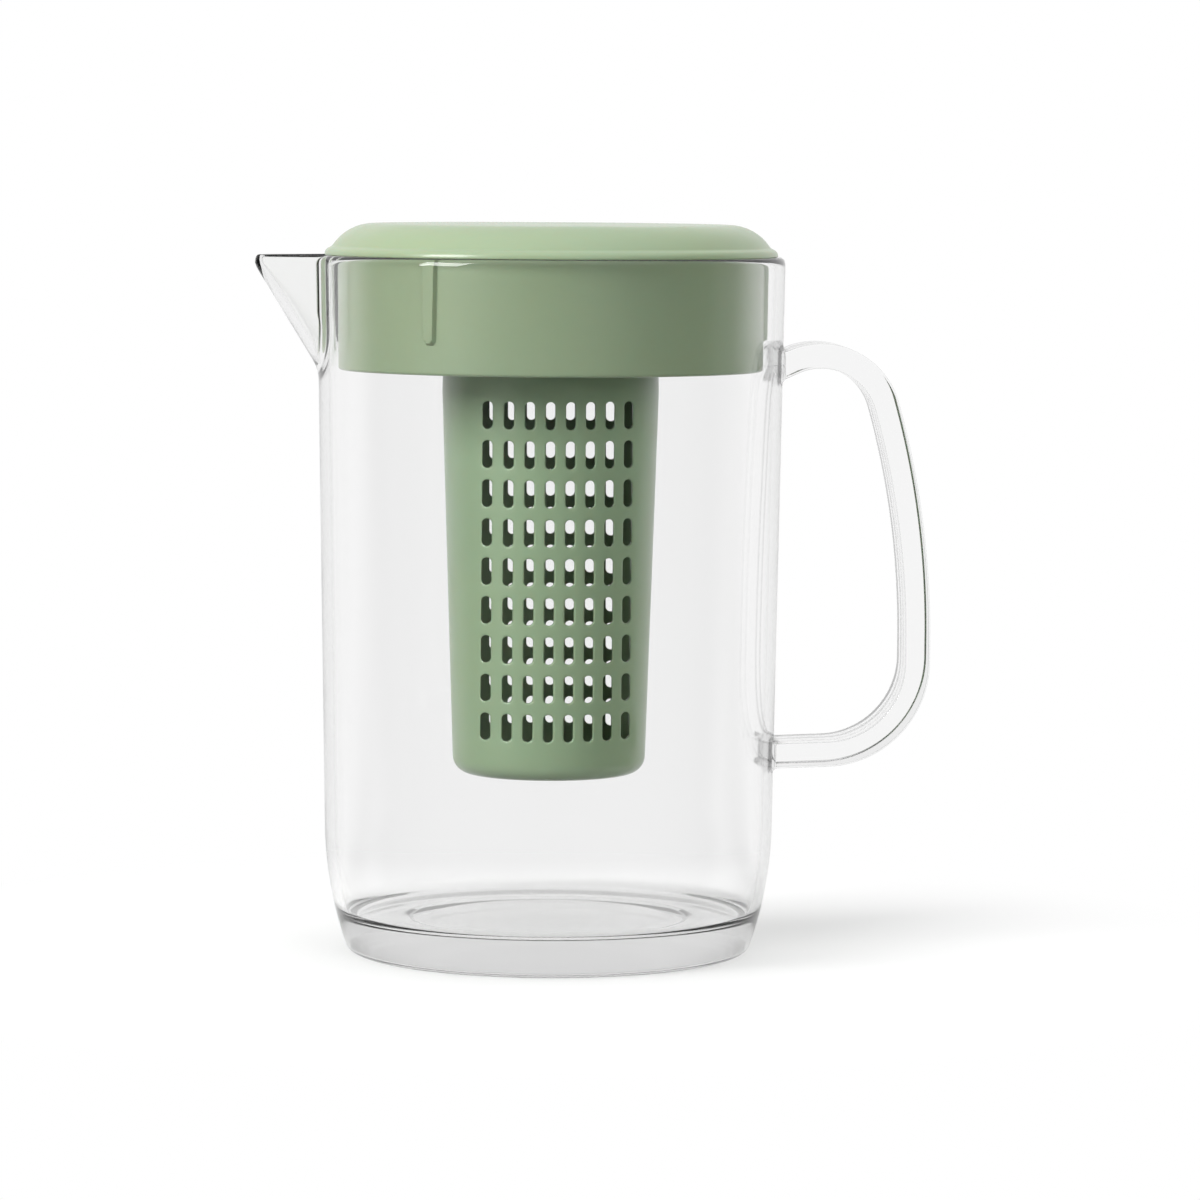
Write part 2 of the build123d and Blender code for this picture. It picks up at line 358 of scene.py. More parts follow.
class Graph:
    """A short way to write one material's or the world's shader nodes."""

    def __init__(self, tree: bpy.types.NodeTree) -> None:
        """Empties the tree.

        Args:
            tree: the node tree to fill.
        """
        self.tree = tree
        tree.nodes.clear()

    def node(self, kind: str, links: dict | None = None, **settings: object) -> bpy.types.Node:
        """Adds a node.

        Args:
            kind: the node's type, without its ShaderNode prefix.
            links: for each input's name or number, a value or another node's output.
            settings: properties of the node itself.

        Returns:
            The new node.
        """
        made = self.tree.nodes.new("ShaderNode" + kind)
        for name, value in settings.items():
            setattr(made, name, value)
        for name, value in (links or {}).items():
            if isinstance(value, bpy.types.NodeSocket):
                self.tree.links.new(value, made.inputs[name])
            else:
                made.inputs[name].default_value = value
        return made

    def math(self, operation: str, *values: object) -> bpy.types.NodeSocket:
        """Output of a Math node on up to three values or sockets."""
        made = self.node("Math", dict(enumerate(values)), operation=operation)
        return made.outputs[0]

    def ramp(
        self, value: bpy.types.NodeSocket, low: float, high: float
    ) -> bpy.types.NodeSocket:
        """Output that eases from 0 to 1 as value runs from low to high."""
        made = self.node(
            "MapRange",
            {"Value": value, "From Min": low, "From Max": high},
            interpolation_type="SMOOTHSTEP",
        )
        return made.outputs["Result"]

    def mix(self, factor: object, low: object, high: object) -> bpy.types.NodeSocket:
        """Number that runs from low to high as factor runs from 0 to 1."""
        made = self.node("Mix", {0: factor, 2: low, 3: high}, data_type="FLOAT")
        return made.outputs[0]

    def blend(self, factor: object, low: object, high: object) -> bpy.types.NodeSocket:
        """Colour that runs from low to high as factor runs from 0 to 1."""
        made = self.node("Mix", {0: factor, 6: low, 7: high}, data_type="RGBA")
        return made.outputs[2]

    def object_place(self) -> bpy.types.NodeSocket:
        """Object coordinates, which stay with the piece."""
        return self.node("TexCoord").outputs["Object"]

    def noise(
        self, place: bpy.types.NodeSocket, scale: float, detail: float
    ) -> bpy.types.NodeSocket:
        """Soft noise at a place, with scale waves to the metre and levels of finer detail."""
        made = self.node("TexNoise", {"Vector": place, "Scale": scale, "Detail": detail})
        return made.outputs["Fac"]

    def bump(
        self, height: bpy.types.NodeSocket, depth: float, strength: float
    ) -> bpy.types.NodeSocket:
        """Normal of a surface that height raises by up to depth."""
        made = self.node("Bump", {"Height": height, "Distance": depth, "Strength": strength})
        return made.outputs["Normal"]

    def sight(self) -> tuple[bpy.types.Node, bpy.types.NodeSocket, bpy.types.NodeSocket]:
        """What kind of ray looks.

        Returns:
            The Light Path node, 1 where the ray comes from the eye or has only passed
            through clear plastic, and 1 where it was mirrored or bent last.
        """
        path = self.node("LightPath")
        bent = path.outputs["Is Transmission Ray"]
        unmirrored = self.math("LESS_THAN", path.outputs["Glossy Depth"], 0.5)
        straight = self.math("MULTIPLY", bent, unmirrored)
        plain = self.math("MAXIMUM", path.outputs["Is Camera Ray"], straight)
        return path, plain, self.math("MAXIMUM", path.outputs["Is Glossy Ray"], bent)


def linear(red: int, green: int, blue: int) -> tuple[float, float, float, float]:
    """Linear colour of an eight-bit display colour, by the standard curve.

    Args:
        red: red from 0 to 255.
        green: green from 0 to 255.
        blue: blue from 0 to 255.

    Returns:
        Linear red, green and blue from 0 to 1, and an alpha of 1.
    """
    share = np.array([red, green, blue]) / 255
    low, high = share / 12.92, ((share + 0.055) / 1.055) ** 2.4
    return (*np.where(share <= 0.04045, low, high).tolist(), 1.0)


@dataclass(frozen=True)
class ClearPlastic:
    """Water-clear moulded plastic with the faint ripple and bloom of an injection mould.

    Args:
        name: the material's name.
        index: refractive index.
        smoke: how strongly the plastic darkens what is seen through a metre of it.
        ripple: depth of the surface's slow waves.
        ripple_size: waves per metre.
        haze: roughness of the polished surface.
        bloom: more roughness, in faint cloudy patches.
        bloom_size: cloudy patches per metre.
        bloom_edge: noise below which the surface is clear, and above which it is cloudy.
        tint: display colour of what passes through a face.
        shadow_tint: display colour of lamp light that has passed through a face.
    """

    name: str
    index: float = 1.43
    smoke: float = 5.4
    ripple: float = 0.00006
    ripple_size: float = 26.0
    haze: float = 0.012
    bloom: float = 0.02
    bloom_size: float = 14.0
    bloom_edge: tuple[float, float] = (0.45, 0.75)
    tint: tuple[int, int, int] = (254, 254, 254)
    shadow_tint: tuple[int, int, int] = (247, 247, 247)

    def make(self) -> bpy.types.Material:
        """The material: clear to lamps, refracting to everything else.

        Returns:
            The new material.
        """
        made = bpy.data.materials.new(self.name)
        made.use_nodes = True
        graph = Graph(made.node_tree)
        place = graph.object_place()
        normal = graph.bump(graph.noise(place, self.ripple_size, 1.0), self.ripple, 1.0)
        patches = graph.ramp(graph.noise(place, self.bloom_size, 3.0), *self.bloom_edge)
        rough = graph.math("MULTIPLY_ADD", patches, self.bloom, self.haze)
        plastic = graph.node(
            "BsdfPrincipled",
            {
                "Base Color": linear(*self.tint),
                "Roughness": rough,
                "IOR": self.index,
                "Transmission Weight": 1.0,
                "Normal": normal,
            },
        )
        clear = graph.node("BsdfTransparent", {"Color": linear(*self.shadow_tint)})
        path = graph.node("LightPath").outputs
        passes = graph.math("MAXIMUM", path["Is Shadow Ray"], path["Is Diffuse Ray"])
        mix = graph.node("MixShader", {0: passes, 1: plastic.outputs[0], 2: clear.outputs[0]})
        depth = graph.node("VolumeAbsorption", {"Color": GREY, "Density": self.smoke})
        graph.node("OutputMaterial", {"Surface": mix.outputs[0], "Volume": depth.outputs[0]})
        return made


@dataclass(frozen=True)
class SagePlastic:
    """Opaque sage-green moulded plastic, glossy, with a little depth to its colour.

    Args:
        name: the material's name.
        colour: its display colour.
        warm: the colour that it drifts to in slow clouds.
        gloss: roughness of the polished parts.
        scuff: more roughness, where it is lightly scuffed.
        skin: how strongly the moulded skin mirrors sharply over that.
        grain: depth of the finest texture.
        drift_size: colour clouds per metre.
        drift_edge: noise below which the colour is plain, and above which it is warm.
        scuff_size: scuffed patches per metre.
        scuff_edge: noise below which the surface is polished, and above which scuffed.
        grain_size: grains per metre.
        grain_strength: how much of the grain shows.
        index: refractive index.
        depth_share: share of the light that spreads below the surface.
        depth: how far it spreads.
        skin_gloss: roughness of the moulded skin.
    """

    name: str
    colour: tuple[int, int, int] = (145, 165, 135)
    warm: tuple[int, int, int] = (150, 167, 132)
    gloss: float = 0.34
    scuff: float = 0.1
    skin: float = 0.35
    grain: float = 0.00001
    drift_size: float = 9.0
    drift_edge: tuple[float, float] = (0.3, 0.7)
    scuff_size: float = 60.0
    scuff_edge: tuple[float, float] = (0.45, 0.8)
    grain_size: float = 900.0
    grain_strength: float = 0.6
    index: float = 1.49
    depth_share: float = 0.12
    depth: float = 0.002
    skin_gloss: float = 0.06

    def make(self) -> bpy.types.Material:
        """The material, its colour drifting a little and its gloss broken by light scuffs.

        Returns:
            The new material.
        """
        made = bpy.data.materials.new(self.name)
        made.use_nodes = True
        graph = Graph(made.node_tree)
        place = graph.object_place()
        flow = graph.ramp(graph.noise(place, self.drift_size, 2.0), *self.drift_edge)
        colour = graph.blend(flow, linear(*self.colour), linear(*self.warm))
        wear = graph.ramp(graph.noise(place, self.scuff_size, 5.0), *self.scuff_edge)
        rough = graph.math("MULTIPLY_ADD", wear, self.scuff, self.gloss)
        fine = graph.noise(place, self.grain_size, 2.0)
        normal = graph.bump(fine, self.grain, self.grain_strength)
        plastic = graph.node(
            "BsdfPrincipled",
            {
                "Base Color": colour,
                "Roughness": rough,
                "IOR": self.index,
                "Subsurface Weight": self.depth_share,
                "Subsurface Scale": self.depth,
                "Coat Weight": self.skin,
                "Coat Roughness": self.skin_gloss,
                "Normal": normal,
            },
        )
        graph.node("OutputMaterial", {"Surface": plastic.outputs[0]})
        return made


def finish_piece(
    piece: bpy.types.Object, material: bpy.types.Material, body: Body, slot: Slot, *nodes: str
) -> bpy.types.Object:
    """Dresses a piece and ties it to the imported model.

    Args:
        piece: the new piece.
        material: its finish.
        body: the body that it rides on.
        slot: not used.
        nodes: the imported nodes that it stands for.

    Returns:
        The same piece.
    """
    piece.data.materials.append(material)
    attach(piece, body.value)
    if nodes:
        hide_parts(*nodes)
    log.info("%s: %d faces on %s", piece.name, len(piece.data.polygons), body.value)
    return piece


# --- Jug ------------------------------------------------------------------------------


@dataclass(frozen=True)
class BeakForm:
    """A keeled U-section that tapers along -X, as seen from the jug's axis.

    At a distance s out from the axis its half width is width_root less width_taper times
    s, and its depth below the rim likewise; the foot of the U is a half circle.

    Args:
        root: distance of the wide end from the axis.
        tip: distance of the narrow end from the axis.
        root_half_width: half width at the wide end.
        tip_half_width: half width at the narrow end.
        root_depth: rim to keel at the wide end.
        tip_depth: rim to keel at the narrow end.
        tip_round: how softly the end turns into the sides.
        reach: largest direction from -X at which the form is worked out, in radians.
    """

    root: float
    tip: float
    root_half_width: float
    tip_half_width: float
    root_depth: float
    tip_depth: float
    tip_round: float = 0.0016
    reach: float = radians(40)

    def radius(self, azimuth: Array, drop: Array) -> Array:
        """Distance from the axis to the form's far side, along each direction.

        The point lies where the half width at s equals s times the tangent of the
        direction.  On the straight sides that is a first-degree equation in s; on the
        rounded foot it is one of second degree, and the larger root is the far side.

        Args:
            azimuth: directions measured from -X, in radians, as columns.
            drop: distances below the rim, as rows.

        Returns:
            Rows by columns of radii, 0 where the form has no side in that direction.
        """
        length = self.tip - self.root
        width_taper = (self.root_half_width - self.tip_half_width) / length
        depth_taper = (self.root_depth - self.tip_depth) / length
        width_axis = self.root_half_width + width_taper * self.root
        depth_axis = self.root_depth + depth_taper * self.root
        slope = np.abs(np.tan(np.clip(azimuth, -self.reach, self.reach)))[None, :]
        drop = drop[:, None]
        straight = width_axis / (slope + width_taper)
        below = drop - depth_axis + width_axis
        fall = depth_taper - width_taper
        square = slope**2 + fall**2 - width_taper**2
        half = below * fall + width_axis * width_taper
        root = np.sqrt(np.maximum(half**2 - square * (below**2 - width_axis**2), 0))
        rounded = (root - half) / square
        side = np.where(below + fall * straight <= 0, straight, rounded)
        end = -smooth_max(-side, np.full_like(side, -self.tip), self.tip_round)
        return np.where(np.abs(azimuth)[None, :] < self.reach, end / np.cos(azimuth), 0)


@dataclass
class Jug:
    """The clear jug: leaning wall, thick base with a recessed foot, and the beak."""

    rim_height: float
    rim_radius: float
    beak_tip: float
    wall: float = 0.0032
    draft: float = radians(0.89)
    base_curve_top: float = 0.040
    base_curve_radius: float = 0.120
    foot_corner: float = 0.00375
    floor_height: float = 0.0123
    floor_corner: float = 0.004
    recess_radius: float = 0.044
    recess_depth: float = 0.0012
    rim_lift: float = 0.0026
    rim_share: float = 0.5
    rim_inner_lift: float = 0.0021
    rim_inner_share: float = 0.42
    beak_width: float = 0.036
    beak_depth: float = 0.0406
    beak_tip_width: float = 0.004
    beak_tip_depth: float = 0.0026
    beak_wall: float = 0.0029
    beak_tip_wall: float = 0.0012
    beak_blend: float = 0.0022
    beak_lead: float = 0.004
    channel_blend: float = 0.0010
    channel_tip_round: float = 0.0008
    recess_edge: float = 0.0005
    corner_steps: int = 12
    curve_steps: int = 14
    plain_rows: int = 12
    beak_rows: int = 54
    rim_steps: int = 8
    floor_rings: int = 9

    @classmethod
    def from_frame(cls) -> "Jug":
        """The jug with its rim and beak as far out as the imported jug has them."""
        low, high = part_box("jug_body")
        return cls(rim_height=high.z, rim_radius=high.y, beak_tip=-low.x)

    def wall_radius(self, height: Array | float) -> Array | float:
        """Outside of the straight wall: the rim's less the drop times the draft's tangent."""
        return self.rim_radius - tan(self.draft) * (self.rim_height - height)

    def foot_curve(self, inset: float, bottom: float, corner: float) -> Array:
        """Arc from the flat bottom up to the straight wall, set in from the outside.

        The large arc is tangent to the wall at base_curve_top, and a small arc rounds
        its corner with the bottom: the small arc's centre lies its own radius above the
        bottom, and the two centres lie the difference of the two radii apart.

        Args:
            inset: distance in from the outside.
            bottom: height of the flat bottom.
            corner: radius of the small arc.

        Returns:
            Rows of radius and height, from the bottom up.
        """
        radius = self.base_curve_radius
        centre_r = self.wall_radius(self.base_curve_top) - radius * cos(self.draft)
        centre_z = self.base_curve_top + radius * sin(self.draft)
        large = radius - inset
        small_z = bottom + corner
        small_r = centre_r + sqrt((large - corner) ** 2 - (small_z - centre_z) ** 2)
        meet = atan2(small_z - centre_z, small_r - centre_r)
        low = np.linspace(-pi / 2, meet, self.corner_steps)
        high = np.linspace(meet, -self.draft, self.curve_steps)[1:]
        small_arc = [small_r + corner * np.cos(low), small_z + corner * np.sin(low)]
        large_arc = [centre_r + large * np.cos(high), centre_z + large * np.sin(high)]
        return np.hstack([small_arc, large_arc]).T

    def azimuths(self) -> Array:
        """Directions measured from -X, close together across the beak and at its lip.

        Returns:
            Directions in radians, in order round the jug.
        """
        lip, beak = radians(2.4), radians(18)
        half = np.concatenate(
            [
                np.linspace(0, lip, 16, endpoint=False),
                np.linspace(lip, beak, 56, endpoint=False),
                np.linspace(beak, pi, 128),
            ]
        )
        return np.concatenate([half, -half[-2:0:-1]])

    def beak_outside(self) -> BeakForm:
        """Outer form of the beak."""
        return BeakForm(
            self.rim_radius - self.wall,
            self.beak_tip,
            self.beak_width / 2,
            self.beak_tip_width / 2,
            self.beak_depth,
            self.beak_tip_depth,
        )

    def beak_inside(self) -> BeakForm:
        """Channel of the beak, whose wall thins towards the lip.

        Returns:
            The outer form, set in by the wall at its root and at its tip.
        """
        root = self.rim_radius - self.wall
        length = self.beak_tip - root
        side = atan2((self.beak_width - self.beak_tip_width) / 2, length)
        keel = atan2(self.beak_depth - self.beak_tip_depth, length)
        return BeakForm(
            root,
            self.beak_tip - 2 * self.beak_tip_wall,
            self.beak_width / 2 - self.beak_wall / cos(side),
            self.beak_tip_width / 2 - self.beak_tip_wall / 2,
            self.beak_depth - self.beak_wall / cos(keel),
            self.beak_tip_depth - self.beak_tip_wall / 2,
            tip_round=self.channel_tip_round,
        )

    def side_rings(
        self, curve: Array, inset: float, beak: BeakForm, blend: float, top: float
    ) -> Array:
        """Rings of one side of the wall, from the bottom up.

        Args:
            curve: the foot curve that the wall starts from.
            inset: distance in from the outside.
            beak: the form that stands out of this side.
            blend: how softly the beak leaves the wall.
            top: height of the highest ring.

        Returns:
            Rings by azimuths by 3.
        """
        azimuths = self.azimuths()
        beak_low = self.rim_height - self.beak_depth - self.beak_lead
        plain = np.linspace(self.base_curve_top, beak_low, self.plain_rows)[1:-1]
        shaped = np.linspace(beak_low, top, self.beak_rows)
        straight = np.concatenate([plain, shaped])
        heights = np.concatenate([curve[:, 1], straight])
        wall = self.wall_radius(straight) - inset / cos(self.draft)
        radii = np.concatenate([curve[:, 0], wall])
        spread = np.repeat(radii[:, None], len(azimuths), axis=1)
        near = heights > beak_low - self.beak_lead
        form = beak.radius(azimuths, self.rim_height - heights[near])
        spread[near] = smooth_max(spread[near], form, blend)
        return revolved(spread, heights, pi + azimuths)

    def rim_rings(self, edge: Array, across: Array, rise: float, inward: float) -> Array:
        """Rings that round one edge of the rim over, from the wall to the flat top.

        Each ring is the edge moved along its own level normal by across less its
        cosine share, and lifted by the sine share of rise: a quarter of an ellipse.

        Args:
            edge: the ring where the rounding starts.
            across: how far the rounding reaches over the wall, at each point.
            rise: how far it climbs.
            inward: 1 where the rim's middle lies towards the axis, -1 where away from it.

        Returns:
            Rings by azimuths by 3.
        """
        along = np.roll(edge, -1, axis=0) - np.roll(edge, 1, axis=0)
        normal = np.stack([-along[:, 1], along[:, 0], np.zeros(len(edge))], axis=-1)
        normal /= np.linalg.norm(normal, axis=1, keepdims=True)
        towards_axis = np.sign(-(normal * edge).sum(axis=1, keepdims=True))
        normal *= towards_axis * inward
        angle = np.linspace(0, pi / 2, self.rim_steps)[1:, None, None]
        lift = np.array([0, 0, rise]) * np.sin(angle)
        return edge + normal * across[:, None] * (1 - np.cos(angle)) + lift

    def skin(self) -> Skin:
        """The whole closed surface, from the recess under the foot to the inside floor.

        Returns:
            One closed surface.
        """
        around = pi + self.azimuths()
        foot = self.foot_curve(0, 0, self.foot_corner)
        recess, _ = rounded_profile(
            [
                Corner(POLE_RADIUS, self.recess_depth, spacing=0.008),
                Corner(self.recess_radius, self.recess_depth, self.recess_edge),
                Corner(self.recess_radius, 0, self.recess_edge, spacing=0.004),
                Corner(foot[0, 0], 0),
            ],
            18,
        )
        under = revolved(recess[:-1, 0], recess[:-1, 1], around)
        outside, channel = self.beak_outside(), self.beak_inside()
        low_rim = self.rim_height - self.rim_lift
        outer = self.side_rings(foot, 0, outside, self.beak_blend, low_rim)
        base = self.foot_curve(self.wall, self.floor_height, self.floor_corner)
        low_rim = self.rim_height - self.rim_inner_lift
        inner = self.side_rings(base, self.wall, channel, self.channel_blend, low_rim)
        thick = np.linalg.norm((outer[-1] - inner[-1])[:, :2], axis=1)
        outer_rim = self.rim_rings(outer[-1], self.rim_share * thick, self.rim_lift, 1)
        share = self.rim_inner_share * thick
        inner_rim = self.rim_rings(inner[-1], share, self.rim_inner_lift, -1)
        top = between(outer_rim[-1], inner_rim[-1], 3)
        floor_radii = np.linspace(base[0, 0], POLE_RADIUS, self.floor_rings)[1:]
        floor = revolved(floor_radii, np.full(len(floor_radii), self.floor_height), around)
        grid = [under, outer, outer_rim, top, inner_rim[::-1], inner[::-1], floor]
        poles = np.array([[0, 0, self.recess_depth], [0, 0, self.floor_height]])
        return closed_skin(np.concatenate(grid), *poles)

    def build(self, finish: ClearPlastic) -> bpy.types.Object:
        """The clear jug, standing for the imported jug."""
        piece = put_in_scene("clear_jug", self.skin(), SOFT_CREASE)
        return finish_piece(piece, finish.make(), Body.JUG, Slot.CLEAR_BODY, "jug_body")


# --- Handle ---------------------------------------------------------------------------


@dataclass
class Handle:
    """The clear strap handle, carried along its path and spread onto the wall at its roots."""

    jug: Jug
    width: float = 0.027
    thickness: float = 0.008
    edge_round: float = 0.0007
    finger_gap: float = 0.0404
    apex: float = 0.191
    arm_height: float = 0.0643
    arm_rise: float = radians(2)
    lower_bend: float = 0.0294
    grip_straight: float = 0.0068
    grip_bow: float = 0.270
    top_bend: float = 0.0218
    root_blend: float = 0.0016
    low_reach: float = 0.0032
    high_reach: float = 0.00256
    seam: float = 0.00002
    edge_steps: int = 7
    root_steps: int = 9

    def section(self) -> tuple[Array, Array]:
        """Rounded rectangle across the strap.

        Four quarter circles of the edge's radius stand on the corners of the rectangle
        that is smaller by that radius, with equal steps along the flats between them.

        Returns:
            Rows of level and square offsets, and the outward direction at each.
        """
        turn = np.linspace(0, pi / 2, self.edge_steps)
        quarter = np.stack([np.cos(turn), np.sin(turn)], axis=-1)
        centre = np.array([self.width, self.thickness]) / 2 - self.edge_round
        signs = np.array([(1, 1), (-1, 1), (-1, -1), (1, -1)])
        offsets, outs = [], []
        for number, sign in enumerate(signs):
            wide = number % 2 == 0
            out = sign * (quarter if wide else quarter[::-1])
            offsets.append(sign * centre + self.edge_round * out)
            outs.append(out)
            after = signs[(number + 1) % len(signs)] * centre + self.edge_round * out[-1]
            steps = 10 if wide else 3
            offsets.append(between(offsets[-1][-1], after, steps))
            outs.append(np.repeat(out[-1:], steps - 1, axis=0))
        return np.vstack(offsets), np.vstack(outs)

    def path(self) -> tuple[Array, Array]:
        """Middle line of the strap in the XZ plane, from the lower root to the upper.

        The line is straight runs and arcs that follow on from each other: a run has a
        length, the turn that it makes and the number of steps that it is cut into.

        Returns:
            Rows of x and z, and the heading at each in radians.
        """
        wall_radius = self.jug.wall_radius
        grip_x = wall_radius(self.arm_height + self.lower_bend)
        grip_x += self.finger_gap + self.thickness / 2
        bend_x = grip_x - self.lower_bend * (1 - sin(self.arm_rise))
        bend_z = self.arm_height + self.lower_bend * (1 - cos(self.arm_rise))
        root_x = wall_radius(self.arm_height) + self.low_reach
        bow_x = grip_x - self.grip_bow
        bow_z = self.arm_height + self.lower_bend + self.grip_straight
        climb = self.apex - self.top_bend - bow_z
        top_x = bow_x + sqrt((self.grip_bow - self.top_bend) ** 2 - climb**2)
        bow_turn = atan2(climb, top_x - bow_x)
        end_x = wall_radius(self.apex) + self.high_reach
        top_turn = pi - acos((top_x - end_x) / self.top_bend) - bow_turn
        runs = [
            ((bend_x - root_x) / cos(self.arm_rise), 0.0, 3),
            (self.lower_bend * (pi / 2 - self.arm_rise), pi / 2 - self.arm_rise, 28),
            (self.grip_straight, 0.0, 3),
            (self.grip_bow * bow_turn, bow_turn, 30),
            (self.top_bend * top_turn, top_turn, 34),
        ]
        place = np.array([root_x, bend_z - (bend_x - root_x) * tan(self.arm_rise)])
        heading = self.arm_rise
        places, headings = [place[None]], [np.array([heading])]
        for length, turn, steps in runs:
            share = np.linspace(0, 1, steps + 1)[1:]
            now = heading + turn * share
            if turn:
                step = along_arc(length / turn, heading, now)
            else:
                step = length * share[:, None] * np.array([cos(heading), sin(heading)])
            places.append(place + step)
            headings.append(now)
            place, heading = places[-1][-1], headings[-1][-1]
        return np.vstack(places), np.concatenate(headings)

    def rings(self, places: Array, headings: Array, spread: Array) -> Array:
        """Section rings square to the path.

        Args:
            places: rows of x and z.
            headings: the path's heading at each.
            spread: how much larger each ring is than the plain section.

        Returns:
            Rings by section points by 3.
        """
        offsets, outs = self.section()
        shape = offsets[None] + spread[:, None, None] * outs[None]
        across = np.stack([-np.sin(headings), np.cos(headings)], axis=-1)
        x = places[:, None, 0] + across[:, None, 0] * shape[..., 1]
        z = places[:, None, 1] + across[:, None, 1] * shape[..., 1]
        return np.stack([x, shape[..., 0], z], axis=-1)

    def slid_to_wall(self, points: Array, heading: float, clear: Array) -> Array:
        """Points moved along a heading until they lie a set distance off the jug's wall.

        Newton's rule on the level distance from the axis less the wall's radius.

        Args:
            points: rows of x, y, z.
            heading: the way they move, in the XZ plane.
            clear: distance off the wall, one for all or one for each.

        Returns:
            The moved points.
        """
        way = np.array([cos(heading), 0, sin(heading)])
        moved = points.copy()
        rounds = 12
        for _ in range(rounds):
            away = np.hypot(moved[..., 0], moved[..., 1])
            excess = away - self.jug.wall_radius(moved[..., 2]) - clear
            rate = moved[..., 0] / away * way[0] - tan(self.jug.draft) * way[2]
            moved = moved - (excess / rate)[..., None] * way
        return moved

    def root(self, place: Array, heading: float) -> Array:
        """Rings that spread the strap onto the wall in a quarter-round fillet.

        At an angle t round the fillet a ring stands one less the sine of t off the wall
        and is wider by one less the cosine of t, both times the fillet's radius.

        Args:
            place: where the strap's plain run ends.
            heading: the strap's heading there.

        Returns:
            Rings by section points by 3, the last one on the wall.
        """
        angle = np.linspace(0, pi / 2, self.root_steps)
        spread = self.root_blend * (1 - np.cos(angle))
        clear = self.root_blend * (1 - np.sin(angle)) + self.seam
        places = np.repeat(place[None], len(angle), axis=0)
        rings = self.rings(places, np.full(len(angle), heading), spread)
        return self.slid_to_wall(rings, heading, clear[:, None])

    def cap(self, ring: Array, heading: float) -> tuple[Array, Array]:
        """Rings and a pole that close a root with a face that follows the wall.

        Args:
            ring: the root's last ring.
            heading: the strap's heading there.

        Returns:
            Rings by section points by 3, and the pole.
        """
        centre = ring.mean(axis=0)
        shrunk = np.array([0.85, 0.6, 0.3])[:, None, None]
        rings = self.slid_to_wall(centre + (ring - centre) * shrunk, heading, self.seam)
        pole = self.slid_to_wall(centre[None], heading, self.seam)
        return rings, pole

    def skin(self) -> Skin:
        """The whole closed strap.

        Returns:
            One closed surface, from the lower root to the upper.
        """
        places, headings = self.path()
        strap = self.rings(places, headings, np.zeros(len(places)))
        low = self.root(places[0], headings[0])
        high = self.root(places[-1], headings[-1])
        low_cap, low_pole = self.cap(low[-1], headings[0])
        high_cap, high_pole = self.cap(high[-1], headings[-1])
        grid = np.concatenate([low_cap[::-1], low[::-1], strap[1:-1], high, high_cap])
        return closed_skin(grid, low_pole, high_pole)

    def build(self, finish: ClearPlastic) -> bpy.types.Object:
        """The clear handle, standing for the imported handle."""
        piece = put_in_scene("clear_handle", self.skin(), SOFT_CREASE)
        return finish_piece(piece, finish.make(), Body.JUG, Slot.CLEAR_HANDLE, "jug_handle")


# --- Threads --------------------------------------------------------------------------


@dataclass(frozen=True)
class Thread:
    """A raised helix on a round wall.

    Args:
        wall_radius: radius of the wall that it stands on.
        height: how far it stands off the wall; negative where it points to the axis.
        mouth: height of the collar's mouth.
        lead: from the mouth up to where its middle line starts.
        width: its width along the wall.
        pitch: climb in one turn.
        turns: how many turns it makes.
        bury: how far its back lies inside the wall.
        fade_steps: it rises and falls over one part in this many of its length.
        steps: how many sections there are along it.
        sides: how many points a section has.
    """

    wall_radius: float
    height: float
    mouth: float
    lead: float = 0.004
    width: float = 0.0018
    pitch: float = 0.006
    turns: float = 1.6
    bury: float = 0.0003
    fade_steps: float = 12.0
    steps: int = 181
    sides: int = 14

    def skin(self) -> Skin:
        """Half ellipses carried along the helix, which fades in and out at its ends.

        Returns:
            One closed surface.
        """
        share = np.linspace(0, 1, self.steps)
        azimuth = share * self.turns * 2 * pi
        fade = smooth_step(share * self.fade_steps) * smooth_step((1 - share) * self.fade_steps)
        round_angle = np.linspace(0, 2 * pi, self.sides + 1)[:-1]
        side = np.sign(self.height)
        bulge = np.maximum(np.cos(round_angle), 0)[None, :] * abs(self.height) * fade[:, None]
        sunk = self.bury * (np.cos(round_angle) < 0)[None, :]
        radius = self.wall_radius + side * (bulge - sunk)
        climb = self.mouth + self.lead + share[:, None] * self.turns * self.pitch
        tall = climb + np.sin(round_angle)[None, :] * self.width / 2
        level = [radius * np.cos(azimuth)[:, None], radius * np.sin(azimuth)[:, None]]
        grid = np.stack([*level, tall], axis=-1)
        return closed_skin(grid, grid[0].mean(axis=0), grid[-1].mean(axis=0))


# --- Lid ------------------------------------------------------------------------------


